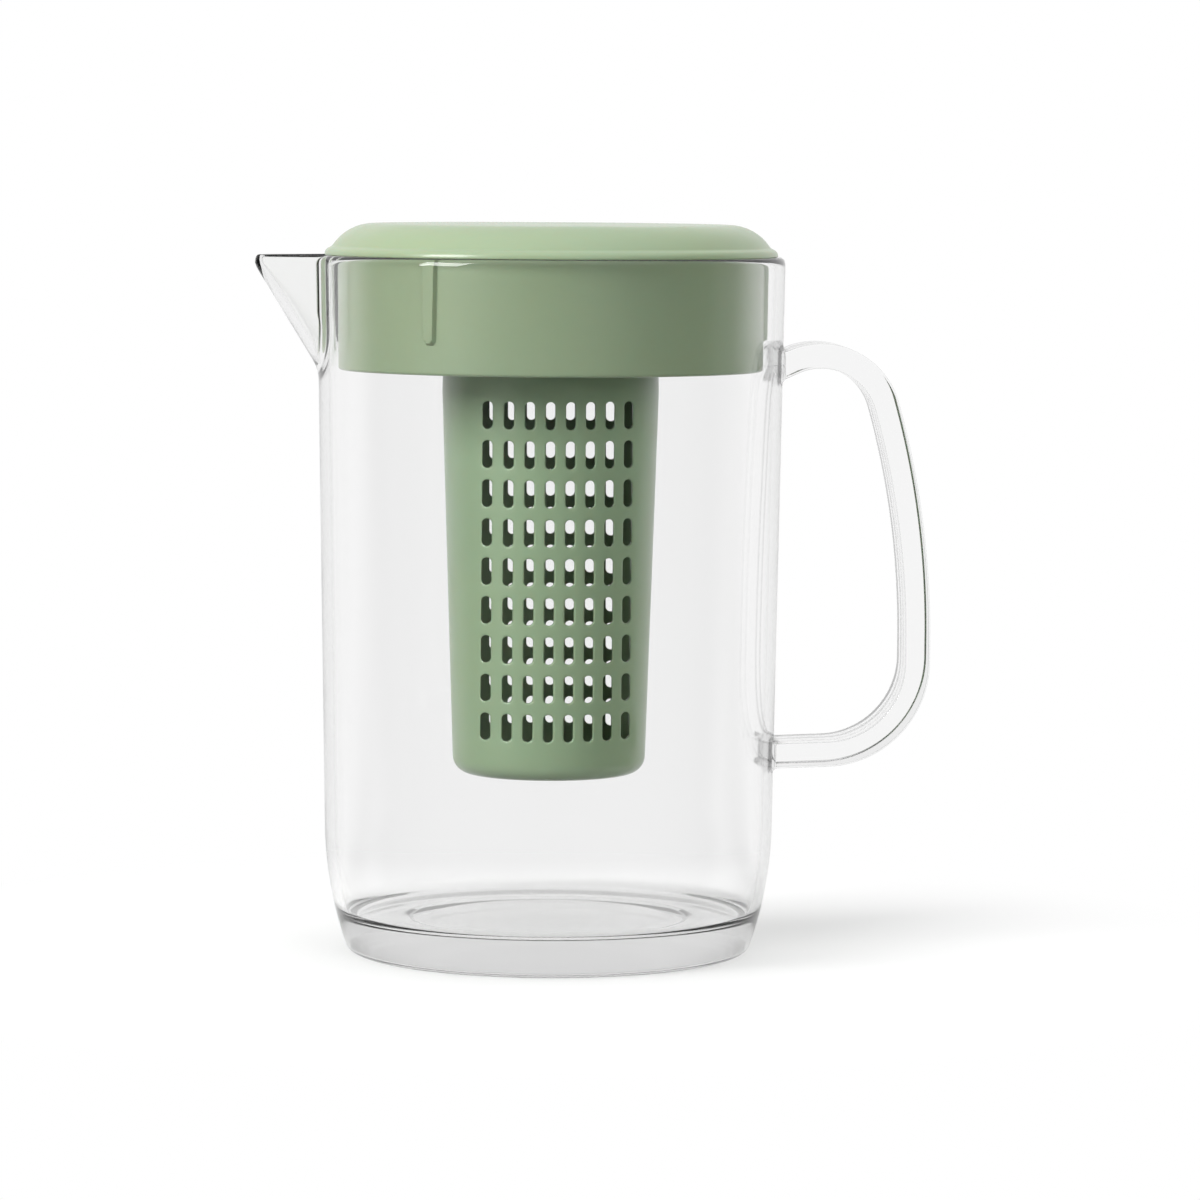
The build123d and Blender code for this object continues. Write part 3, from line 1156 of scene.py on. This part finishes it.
@dataclass
class Lid:
    """The sage lid: domed cap, lip, long skirt with spacer ribs, and the threaded collar."""

    top: float
    rim_height: float
    bore_radius: float
    draft: float
    turn: float = 3.5
    flat_radius: float = 0.0565
    shoulder_radius: float = 0.0155
    shoulder_sweep: float = radians(56)
    shoulder_run: float = 0.0006
    shoulder_foot: float = 0.0018
    cap_thickness: float = 0.0026
    lip_overlap: float = 0.0008
    lip_thickness: float = 0.0018
    lip_round: float = 0.0022
    lip_edge: float = 0.0003
    skirt_gap: float = 0.0034
    skirt_length: float = 0.036
    skirt_draft: float = radians(0.48)
    skirt_wall: float = 0.0025
    skirt_edge: float = 0.0009
    skirt_root_rise: float = 0.0035
    skirt_root_run: float = 0.0037
    skirt_root_round: float = 0.006
    rib_count: int = 3
    rib_angle: float = radians(231.8)
    rib_length: float = 0.0268
    rib_top_width: float = 0.0053
    rib_bottom_width: float = 0.0040
    rib_stand: float = 0.0014
    rib_edge: float = 0.0006
    rib_span: float = 0.058
    rib_margin: float = 0.064
    rib_steps: int = 39
    even_steps: int = 240
    collar_radius: float = 0.0353
    collar_length: float = 0.0335
    collar_wall: float = 0.0025
    collar_root_round: float = 0.001
    collar_edge: float = 0.0004
    collar_lead_in: float = 0.0008
    thread_depth: float = 0.0008

    @classmethod
    def from_frame(cls, jug: Jug) -> "Lid":
        """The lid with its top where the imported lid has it, on the jug's rim.

        Args:
            jug: the jug that it closes.

        Returns:
            The lid.
        """
        _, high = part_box("lid")
        bore = jug.rim_radius - jug.wall / cos(jug.draft)
        return cls(top=high.z, rim_height=jug.rim_height, bore_radius=bore, draft=jug.draft)

    def underside(self) -> float:
        """Height of the cap's flat underside."""
        return self.top - self.cap_thickness

    def mouth(self) -> float:
        """Height of the collar's mouth."""
        return self.underside() - self.collar_length

    def skirt_radius(self, height: Array | float) -> Array | float:
        """Outside of the skirt: its top radius less the drop times its draft's tangent."""
        skirt_top = self.bore_radius - self.skirt_gap
        return skirt_top - (self.rim_height - height) * tan(self.skirt_draft)

    def corners(self) -> list[Corner]:
        """Half section from the middle of the top, down the outside and back up inside.

        Returns:
            The corners in order.
        """
        skirt_top = self.bore_radius - self.skirt_gap
        bottom = self.rim_height - self.skirt_length
        skirt_end = self.skirt_radius(bottom)
        inside = skirt_top - self.skirt_wall
        tangent = self.shoulder_radius * tan(self.shoulder_sweep / 2)
        run = tangent + self.shoulder_run
        shoulder_r = self.flat_radius + tangent
        lip_r = self.bore_radius + self.lip_overlap
        underside, mouth = self.underside(), self.mouth()
        collar = self.collar_radius + self.collar_wall
        bore = self.collar_radius + self.thread_depth
        coarse, plain, fine = 0.006, 0.005, 0.0007
        return [
            Corner(POLE_RADIUS, self.top, spacing=coarse),
            Corner(shoulder_r, self.top, self.shoulder_radius),
            Corner(
                shoulder_r + run * cos(self.shoulder_sweep),
                self.top - run * sin(self.shoulder_sweep),
                self.shoulder_foot,
            ),
            Corner(lip_r, self.rim_height + self.lip_thickness, self.lip_round),
            Corner(lip_r, self.rim_height, self.lip_edge),
            Corner(skirt_top, self.rim_height, self.lip_edge, fine),
            Corner(skirt_end, bottom, self.skirt_edge),
            Corner(skirt_end - self.skirt_wall, bottom, self.skirt_edge, coarse),
            Corner(inside, underside - self.skirt_root_rise, self.collar_root_round),
            Corner(inside - self.skirt_root_run, underside, self.skirt_root_round, plain),
            Corner(collar, underside, self.collar_root_round, plain),
            Corner(collar, mouth, self.collar_edge),
            Corner(bore, mouth, self.collar_lead_in, plain),
            Corner(bore, underside, self.collar_lead_in, coarse),
            Corner(POLE_RADIUS, underside),
        ]

    def rib_azimuths(self) -> Array:
        """Directions of the ribs' middles, at equal turns."""
        return self.rib_angle + np.arange(self.rib_count) * 2 * pi / self.rib_count

    def off_ribs(self, azimuths: Array) -> Array:
        """Angle from each direction to the nearest rib's middle."""
        turn = azimuths[:, None] - self.rib_azimuths()[None, :]
        return np.abs((turn + pi) % (2 * pi) - pi).min(axis=1)

    def azimuths(self) -> Array:
        """Directions round the lid, close together across each spacer rib.

        Returns:
            Directions in radians, in order round the lid.
        """
        across = np.linspace(-self.rib_span, self.rib_span, self.rib_steps)
        near = (self.rib_azimuths()[:, None] + across[None, :]).ravel() % (2 * pi)
        even = np.linspace(0, 2 * pi, self.even_steps + 1)[:-1]
        return np.sort(np.concatenate([near, even[self.off_ribs(even) > self.rib_margin]]))

    def rib_reach(self, azimuths: Array, heights: Array) -> Array:
        """Radius out to the ribs' faces, which runs to nothing at their edges.

        Inside a rib's tapered outline with its round foot, the face stands off the
        skirt by the smooth step of the distance from the outline over the edge's width.

        Args:
            azimuths: directions in radians, as columns.
            heights: heights above the table, as rows.

        Returns:
            Rows by columns of radii.
        """
        foot = self.rim_height - self.rib_length
        skirt = self.skirt_radius(heights)
        across = self.off_ribs(azimuths)[None, :] * skirt[:, None]
        rise = np.clip((heights - foot) / self.rib_length, 0, 1)[:, None]
        end = self.rib_bottom_width / 2
        half = end + (self.rib_top_width / 2 - end) * rise
        below = np.maximum(foot + end - heights, 0)[:, None]
        inside = half - np.hypot(across, below)
        return skirt[:, None] + self.rib_stand * smooth_step(inside / self.rib_edge)

    def skin(self) -> Skin:
        """The whole closed lid, turned to where it sits in the mouth.

        Returns:
            One closed surface.
        """
        lip_bottom, skirt_top = 4, 5
        profile, owners = rounded_profile(self.corners(), 8)
        azimuths = self.azimuths()
        radii = np.repeat(profile[:, :1], len(azimuths), axis=1)
        outside = (owners >= lip_bottom) & (owners <= skirt_top)
        ribs = self.rib_reach(azimuths, profile[outside, 1])
        radii[outside] = np.maximum(radii[outside], ribs)
        grid = revolved(radii, profile[:, 1], azimuths)
        skin = closed_skin(grid, np.array([0, 0, self.top]), np.array([0, 0, self.underside()]))
        skin.points = turned_about_axis(skin.points, self.turn)
        return skin

    def build(self, finish: SagePlastic) -> None:
        """The lid and the thread inside its collar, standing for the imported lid.

        Args:
            finish: the lid's plastic.
        """
        material = finish.make()
        piece = put_in_scene("sage_lid", self.skin())
        finish_piece(piece, material, Body.LID, Slot.GREEN_LID, "lid")
        bore = self.collar_radius + self.thread_depth
        thread = Thread(bore, -self.thread_depth, self.mouth())
        piece = put_in_scene("collar_thread", thread.skin())
        finish_piece(piece, material, Body.LID, Slot.GREEN_LID)


# --- Infuser basket -------------------------------------------------------------------


@dataclass
class InfuserBasket:
    """The sage basket: tapered tube, slotted in front and behind, with a threaded neck.

    The slots run straight through along Y, so the slotted panels are flat patterns of
    cells thrown onto the tube along Y, and the rest of the tube is drawn round it.
    """

    bottom: float
    top: float
    neck_radius: float
    neck_start: float
    turn: float = 3.5
    wall: float = 0.0019
    bottom_radius: float = 0.0306
    corner: float = 0.0055
    columns: int = 8
    rows: int = 9
    slot_width: float = 0.003
    slot_length: float = 0.0087
    column_pitch: float = 0.0063
    row_pitch: float = 0.0123
    first_row: float = 0.017
    slot_edge: float = 0.00045
    cell_steps: int = 6
    side_steps: int = 30
    neck_edge: float = 0.0005
    shoulder_drop: float = 0.001
    shoulder_round: float = 0.002
    shoulder_inner_round: float = 0.004
    thread_depth: float = 0.0008

    @classmethod
    def from_frame(cls, lid: Lid) -> "InfuserBasket":
        """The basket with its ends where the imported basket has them, under the lid's collar."""
        low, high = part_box("infuser_basket")
        return cls(bottom=low.z, top=high.z, neck_radius=high.y, neck_start=lid.mouth())

    def row_heights(self) -> Array:
        """Heights of the middles of the slots' rows."""
        return self.bottom + self.first_row + np.arange(self.rows) * self.row_pitch

    def tube_radius(self, height: Array, inset: float) -> Array:
        """Radius of the tapered tube: a straight line from the bottom's to the neck's."""
        share = (height - self.bottom) / (self.neck_start - self.bottom)
        return self.bottom_radius + (self.neck_radius - self.bottom_radius) * share - inset

    def cell(self) -> tuple[Array, Array, Array, Array]:
        """Rings from one cell's outer border, through its slot, to the inner border.

        A border point's partner on the slot is the nearest point of the slot's outline:
        the slot is a core line grown by half the slot's width.  Ring after ring, the
        distance from the outline falls to nothing while the depth grows as on a quarter
        circle, then crosses the wall and opens out again.

        Returns:
            Across and up offsets, depth, and 1 where a ring lies on the inner side.
        """
        half_across, half_up = self.column_pitch / 2, self.row_pitch / 2
        grown = self.slot_width / 2
        core = self.slot_length / 2 - grown
        level = np.linspace(-half_across, half_across, self.cell_steps + 1)
        lower = -core - (half_up - core) * np.array([1, 0.72, 0.45, 0.2])
        upright = np.concatenate([lower, np.linspace(-core, core, 4), -lower[::-1]])
        right = np.full(len(upright) - 1, half_across)
        above = np.full(self.cell_steps, half_up)
        x = np.concatenate([level[:-1], right, level[:0:-1], -right])
        z = np.concatenate([-above, upright[:-1], above, upright[:0:-1]])
        border = np.stack([x, z], axis=-1)
        nearest = np.stack([np.zeros(len(border)), np.clip(border[:, 1], -core, core)], axis=-1)
        out = border - nearest
        distance = np.linalg.norm(out, axis=1, keepdims=True)
        out /= distance
        angle = np.radians([0, 30, 60, 90])
        away = self.slot_edge * (1 - np.sin(angle))
        sunk = self.slot_edge * (1 - np.cos(angle))
        distances = np.concatenate([away, away[::-1]])[:, None, None]
        edge = grown + self.slot_edge
        middle_share = 0.6
        middle = nearest + out * (edge + (distance - edge) * middle_share)
        slot = nearest + out * (grown + distances)
        shape = np.concatenate([[border, middle], slot, [middle, border]])
        depths = np.concatenate([[0, 0], sunk, -sunk[::-1], [0, 0]])
        inner = np.repeat([0, 1], len(shape) // 2)
        return shape[..., 0], shape[..., 1], depths, inner

    def panel(self, side: float) -> Skin:
        """One slotted panel, both its faces and the slots' walls.

        A point's distance along Y is the root of the tube's radius squared less x
        squared, less the ring's depth.

        Args:
            side: -1 for the front panel and 1 for the back one.

        Returns:
            An open surface, whose border the rest of the basket meets.
        """
        across, up, depth, inner = self.cell()
        rings, count = across.shape
        column = (np.arange(self.columns) - (self.columns - 1) / 2) * self.column_pitch
        x = across[None, None] + column[:, None, None, None]
        z = up[None, None] + self.row_heights()[None, :, None, None]
        x, z = np.broadcast_arrays(x, z)
        inset = (inner * self.wall)[:, None]
        y = np.sqrt(self.tube_radius(z, inset) ** 2 - x**2) - depth[:, None]
        points = np.stack([x, side * y, z], axis=-1).reshape(-1, 3)
        faces = grid_quads(rings, count, True)
        starts = np.arange(self.columns * self.rows)[:, None, None] * rings * count
        return Skin(points, (faces[None] + starts).reshape(-1, 4))

    def panel_heights(self) -> Array:
        """Heights of the panels' border points, row after row of cells.

        Returns:
            Heights from the bottom up, each once.
        """
        _, up, _, _ = self.cell()
        border = np.unique(up[0].round(9))
        return np.unique((border[None] + self.row_heights()[:, None]).ravel().round(9))

    def ring_azimuths(self, height: float, inset: float) -> Array:
        """Directions of a whole ring's points, as measured from -Y towards +X.

        Across a panel the points keep the cells' even steps in x, and between the
        panels they are spread evenly round the side.

        Args:
            height: the ring's height.
            inset: distance in from the tube's outside.

        Returns:
            Directions in radians, in order round the tube.
        """
        edge = self.columns * self.column_pitch / 2
        x = np.linspace(-edge, edge, self.columns * self.cell_steps + 1)
        front = np.arcsin(x / self.tube_radius(height, inset))
        side = np.linspace(front[-1], pi - front[-1], self.side_steps + 1)[1:-1]
        return np.concatenate([front, side, pi + front, pi + side])

    def placed(self, radius: Array, azimuth: Array, height: Array) -> Array:
        """Points from radius, direction from -Y and height."""
        radius, azimuth, height = np.broadcast_arrays(radius, azimuth, height)
        return np.stack([radius * np.sin(azimuth), -radius * np.cos(azimuth), height], axis=-1)

    def side_strips(self, inset: float) -> Skin:
        """The plain strips of the tube between the two panels, on one face of the wall.

        Args:
            inset: distance in from the tube's outside.

        Returns:
            Both strips, as open surfaces.
        """
        heights = self.panel_heights()
        radii = self.tube_radius(heights, inset)[:, None]
        azimuths = np.stack([self.ring_azimuths(height, inset) for height in heights])
        panel, count = self.columns * self.cell_steps, self.side_steps + 1
        strips = []
        for start in (panel, 2 * panel + self.side_steps):
            picked = np.take(azimuths, np.arange(start, start + count), axis=1, mode="wrap")
            grid = self.placed(radii, picked, heights[:, None])
            strips.append(Skin(grid.reshape(-1, 3), grid_quads(len(heights), count, False)))
        return strips[0].joined(strips[1])

    def end_rings(
        self, corners: list[Corner], outer_azimuths: Array, inner_azimuths: Array
    ) -> Array:
        """Rings along a half section that starts on one face and may end on the other.

        Args:
            corners: the half section.
            outer_azimuths: directions of the points at its start.
            inner_azimuths: directions of the points at its end.

        Returns:
            Rings by azimuths by 3.
        """
        profile, _ = rounded_profile(corners, 9)
        share = np.linspace(0, 1, len(profile))[:, None]
        azimuths = outer_azimuths + (inner_azimuths - outer_azimuths) * share
        return self.placed(profile[:, :1], azimuths, profile[:, 1:])

    def neck(self) -> Skin:
        """Rings from the panels' top, up the neck, over its edge and down inside.

        Returns:
            An open surface, from the tube's outside to its inside.
        """
        start = self.panel_heights()[-1]
        outer = self.tube_radius(start, 0)
        neck, bore = self.neck_radius - self.thread_depth, self.neck_radius - self.wall
        coarse, fine = 0.004, 0.003
        corners = [
            Corner(outer, start, spacing=coarse),
            Corner(neck, self.neck_start - self.shoulder_drop, self.shoulder_round, fine),
            Corner(neck, self.top, self.neck_edge),
            Corner(bore, self.top, self.neck_edge, coarse),
            Corner(bore, self.neck_start, self.shoulder_inner_round, coarse),
            Corner(outer - self.wall, start),
        ]
        ends = [self.ring_azimuths(start, inset) for inset in (0, self.wall)]
        rings = self.end_rings(corners, *ends)
        return Skin(rings.reshape(-1, 3), grid_quads(len(rings), rings.shape[1], True))

    def foot(self, inset: float) -> Skin:
        """Rings from the panels' lower edge down, round the corner, to the middle.

        Args:
            inset: distance in from the tube's outside.

        Returns:
            A surface that is open at its upper ring.
        """
        start, low = self.panel_heights()[0], self.bottom + inset
        corners = [
            Corner(float(self.tube_radius(start, inset)), start, spacing=0.003),
            Corner(self.bottom_radius - inset, low, self.corner - inset, spacing=0.004),
            Corner(POLE_RADIUS, low),
        ]
        azimuths = self.ring_azimuths(start, inset)
        rings = self.end_rings(corners, azimuths, azimuths)
        count = rings.shape[1]
        points = np.vstack([rings.reshape(-1, 3), [0, 0, low]])
        last = (len(rings) - 1) * count + np.arange(count)
        fan = np.stack([last, np.roll(last, -1), np.full(count, len(points) - 1)], axis=-1)
        return Skin(points, grid_quads(len(rings), count, True), fan)

    def skin(self) -> Skin:
        """All parts of the surface together, before their shared borders are welded.

        Returns:
            The surface, turned to where the basket hangs in the lid.
        """
        whole = self.panel(-1).joined(self.panel(1)).joined(self.neck())
        for inset in (0, self.wall):
            whole = whole.joined(self.side_strips(inset)).joined(self.foot(inset))
        whole.points = turned_about_axis(whole.points, self.turn)
        return whole

    def build(self, finish: SagePlastic) -> None:
        """The basket and the thread round its neck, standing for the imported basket.

        Args:
            finish: the basket's plastic.
        """
        material = finish.make()
        piece = put_in_scene("sage_basket", self.skin())
        weld(piece, MERGE_DISTANCE)
        piece.data.shade_smooth()
        piece.data.set_sharp_from_angle(angle=radians(SOFT_CREASE))
        finish_piece(piece, material, Body.INFUSER, Slot.GREEN_BASKET, "infuser_basket")
        neck = self.neck_radius - self.thread_depth
        thread = Thread(neck, self.thread_depth, self.neck_start)
        piece = put_in_scene("neck_thread", thread.skin())
        finish_piece(piece, material, Body.INFUSER, Slot.GREEN_BASKET)


# --- Studio ---------------------------------------------------------------------------


@dataclass(frozen=True)
class SoftBox:
    """A square soft lamp aimed at a point.

    Args:
        name: the lamp's name.
        place: where it stands.
        aim: the point that it faces.
        width: its width.
        height: its height.
        power: its power in watts.
        mirrored: whether glossy surfaces mirror it.
    """

    name: str
    place: tuple[float, float, float]
    aim: tuple[float, float, float]
    width: float
    height: float
    power: float
    mirrored: bool = True

    def build(self) -> bpy.types.Object:
        """Puts the lamp in the scene.

        Returns:
            The lamp.
        """
        data = bpy.data.lights.new(self.name, "AREA")
        data.shape = "RECTANGLE"
        data.size, data.size_y = self.width, self.height
        data.energy = self.power
        lamp = bpy.data.objects.new(self.name, data)
        lamp.location = self.place
        way = Vector(self.aim) - Vector(self.place)
        lamp.rotation_euler = way.to_track_quat("-Z", "Y").to_euler()
        lamp.visible_glossy = self.mirrored
        lamp.visible_transmission = False
        bpy.context.scene.collection.objects.link(lamp)
        return lamp


@dataclass
class Studio:
    """White surroundings, a pale floor that keeps the shadow, and four soft lamps.

    Args:
        ambient: brightness that lights matt surfaces.
        room_left: brightness in front on the left, as mirrored surfaces see it.
        room_right: the same on the right.
        room_gap: brightness at either side.
        room_rear: brightness behind the object.
        room_top: brightness overhead.
        front_fall: x of a level direction where the front starts and ends its fall.
        gap_edge: y of a level direction where the front ends and the gap begins.
        rear_edge: y of a level direction where the gap ends and the rear begins.
        top_edge: z of a direction where the sides end and the top begins.
        bent_loss: how much darker the steepest bent rays see the white backdrop.
        bent_edge: steepness of a direction where that starts and is complete.
        floor_level: height of the floor.
        floor_size: its width.
        floor_paint: its display colour.
        floor_bounce: the same as it lights the object from below.
        shadow_radius: distance from the axis where the shaded floor starts to fade.
        fade_radius: distance where it has faded to plain white.
        aim: the point that the lamps face.
    """

    ambient: float = 0.16
    room_left: float = 0.19
    room_right: float = 0.05
    room_gap: float = 0.22
    room_rear: float = 0.91
    room_top: float = 0.8
    front_fall: tuple[float, float] = (0.3, -0.9)
    gap_edge: tuple[float, float] = (-0.15, 0.02)
    rear_edge: tuple[float, float] = (0.15, 0.5)
    top_edge: tuple[float, float] = (0.25, 0.8)
    bent_loss: float = 0.6
    bent_edge: tuple[float, float] = (0.11, 0.55)
    floor_level: float = -0.0001
    floor_size: float = 6.0
    floor_paint: tuple[int, int, int] = (254, 254, 254)
    floor_bounce: tuple[int, int, int] = (165, 165, 165)
    shadow_radius: float = 0.085
    fade_radius: float = 0.24
    aim: tuple[float, float, float] = (0.0, 0.0, 0.13)

    def room(self, graph: Graph, way: bpy.types.NodeSocket) -> bpy.types.NodeSocket:
        """What a mirrored ray sees in a level direction, the same on the floor as beyond it.

        White behind the object, a dim gap at either side, and in front of it a room
        that falls off from the left to the right.

        Args:
            graph: the world's or the floor's nodes.
            way: the ray's direction, or a place on the floor as seen from the object.

        Returns:
            The room's brightness, from 0 to 1.
        """
        level = graph.node("VectorMath", {0: way, 1: (1.0, 1.0, 0.0)}, operation="MULTIPLY")
        unit = graph.node("VectorMath", {0: level.outputs[0]}, operation="NORMALIZE")
        x, y, _ = graph.node("SeparateXYZ", {0: unit.outputs[0]}).outputs
        front = graph.mix(graph.ramp(x, *self.front_fall), self.room_right, self.room_left)
        gap = graph.mix(graph.ramp(y, *self.gap_edge), front, self.room_gap)
        return graph.mix(graph.ramp(y, *self.rear_edge), gap, self.room_rear)

    def build_world(self) -> None:
        """The surroundings: white behind the object, and a plain grey-white room otherwise.

        Camera rays, and rays that pass straight through clear plastic, see plain white,
        dimmer where they are bent steeply.  Rays that have been mirrored see the room,
        and matt surfaces are lit by the plain ambient level.
        """
        world = bpy.data.worlds.new("studio")
        world.use_nodes = True
        bpy.context.scene.world = world
        graph = Graph(world.node_tree)
        path, plain, mirrored = graph.sight()
        place = graph.node("TexCoord").outputs["Generated"]
        tall = graph.node("SeparateXYZ", {0: place}).outputs["Z"]
        steep = graph.ramp(graph.math("ABSOLUTE", tall), *self.bent_edge)
        above = graph.ramp(tall, *self.top_edge)
        room = graph.mix(above, self.room(graph, place), self.room_top)
        lit = graph.mix(mirrored, self.ambient, room)
        bent = graph.math("MULTIPLY", steep, path.outputs["Is Transmission Ray"])
        backdrop = graph.math("MULTIPLY_ADD", bent, -self.bent_loss, 1.0)
        shown = graph.mix(plain, lit, backdrop)
        back = graph.node("Background", {"Color": WHITE, "Strength": shown})
        graph.node("OutputWorld", {"Surface": back.outputs[0]})

    def build_floor(self) -> None:
        """A plain white floor, shaded near the object and plain white to the eye beyond.

        Mirrored rays see the same room on it as beyond it, so no edge of the floor
        shows in the object.
        """
        half = self.floor_size / 2
        mesh = bpy.data.meshes.new("floor")
        corners = [(-half, -half), (half, -half), (half, half), (-half, half)]
        mesh.from_pydata([(x, y, self.floor_level) for x, y in corners], [], [(0, 1, 2, 3)])
        floor = bpy.data.objects.new("floor", mesh)
        bpy.context.scene.collection.objects.link(floor)
        made = bpy.data.materials.new("floor_white")
        made.use_nodes = True
        graph = Graph(made.node_tree)
        place = graph.object_place()
        away = graph.node("VectorMath", {0: place}, operation="LENGTH").outputs["Value"]
        beyond = graph.ramp(away, self.shadow_radius, self.fade_radius)
        path, plain, mirrored = graph.sight()
        glowing = graph.math("MULTIPLY", beyond, graph.math("MAXIMUM", plain, mirrored))
        seen, bounced = linear(*self.floor_paint), linear(*self.floor_bounce)
        paint = graph.blend(path.outputs["Is Diffuse Ray"], seen, bounced)
        matt = graph.node("BsdfDiffuse", {"Color": paint})
        strength = graph.mix(plain, self.room(graph, place), 1.0)
        glow = graph.node("Emission", {"Color": WHITE, "Strength": strength})
        mix = graph.node("MixShader", {0: glowing, 1: matt.outputs[0], 2: glow.outputs[0]})
        graph.node("OutputMaterial", {"Surface": mix.outputs[0]})
        mesh.materials.append(made)

    def build(self) -> None:
        """World, floor and lamps."""
        self.build_world()
        self.build_floor()
        aim = self.aim
        lamps = [
            SoftBox("key", (-1.70, -1.06, 1.10), aim, 0.9, 1.1, 46.0),
            SoftBox("front", (0.9, -2.0, 0.9), aim, 1.2, 1.2, 19.0, mirrored=False),
            SoftBox("edge", (1.9, 0.7, 0.5), aim, 0.6, 1.2, 11.0, mirrored=False),
            SoftBox("overhead", (0.0, 0.1, 2.1), aim, 2.2, 1.8, 25.0, mirrored=False),
        ]
        for lamp in lamps:
            lamp.build()


@dataclass
class Camera:
    """The photograph's view, as fitted to the rim, the base and the handle.

    Args:
        place: where the camera stands when the handle is square to its view.
        pitch: how far it looks down, in degrees.
        roll: how far it leans, in degrees.
        object_turn: how far the object is turned in the photograph, in degrees.
        lens: focal length on a full-width sensor, in millimetres.
    """

    place: tuple[float, float, float] = (0.0161, -1.6709, 0.2499)
    pitch: float = 4.704
    roll: float = 0.35
    object_turn: float = 2.5
    lens: float = 157.5

    def build(self) -> None:
        """The camera, moved round the object instead of turning the object."""
        data = bpy.data.cameras.new("view")
        data.lens = self.lens
        data.sensor_width = 36.0
        data.clip_start, data.clip_end = 0.05, 50.0
        camera = bpy.data.objects.new("view", data)
        bpy.context.scene.collection.objects.link(camera)
        camera.matrix_world = (
            Matrix.Rotation(radians(-self.object_turn), 4, "Z")
            @ Matrix.Translation(self.place)
            @ Matrix.Rotation(radians(90 - self.pitch), 4, "X")
            @ Matrix.Rotation(radians(self.roll), 4, "Z")
        )
        bpy.context.scene.camera = camera


def main() -> None:
    """Builds the pitcher piece by piece, then the studio around it."""
    logging.basicConfig(level=logging.INFO, format="%(name)s: %(message)s")
    bpy.context.scene.view_settings.view_transform = "Standard"
    jug = Jug.from_frame()
    jug.build(ClearPlastic("clear_body_plastic"))
    Handle(jug).build(ClearPlastic("clear_handle_plastic", smoke=1.5))
    lid = Lid.from_frame(jug)
    lid.build(SagePlastic("sage_lid_plastic"))
    basket_finish = SagePlastic(
        "sage_basket_plastic", colour=(149, 173, 139), warm=(152, 174, 137)
    )
    InfuserBasket.from_frame(lid).build(basket_finish)
    Studio().build()
    Camera().build()


if __name__ == "__main__":
    main()
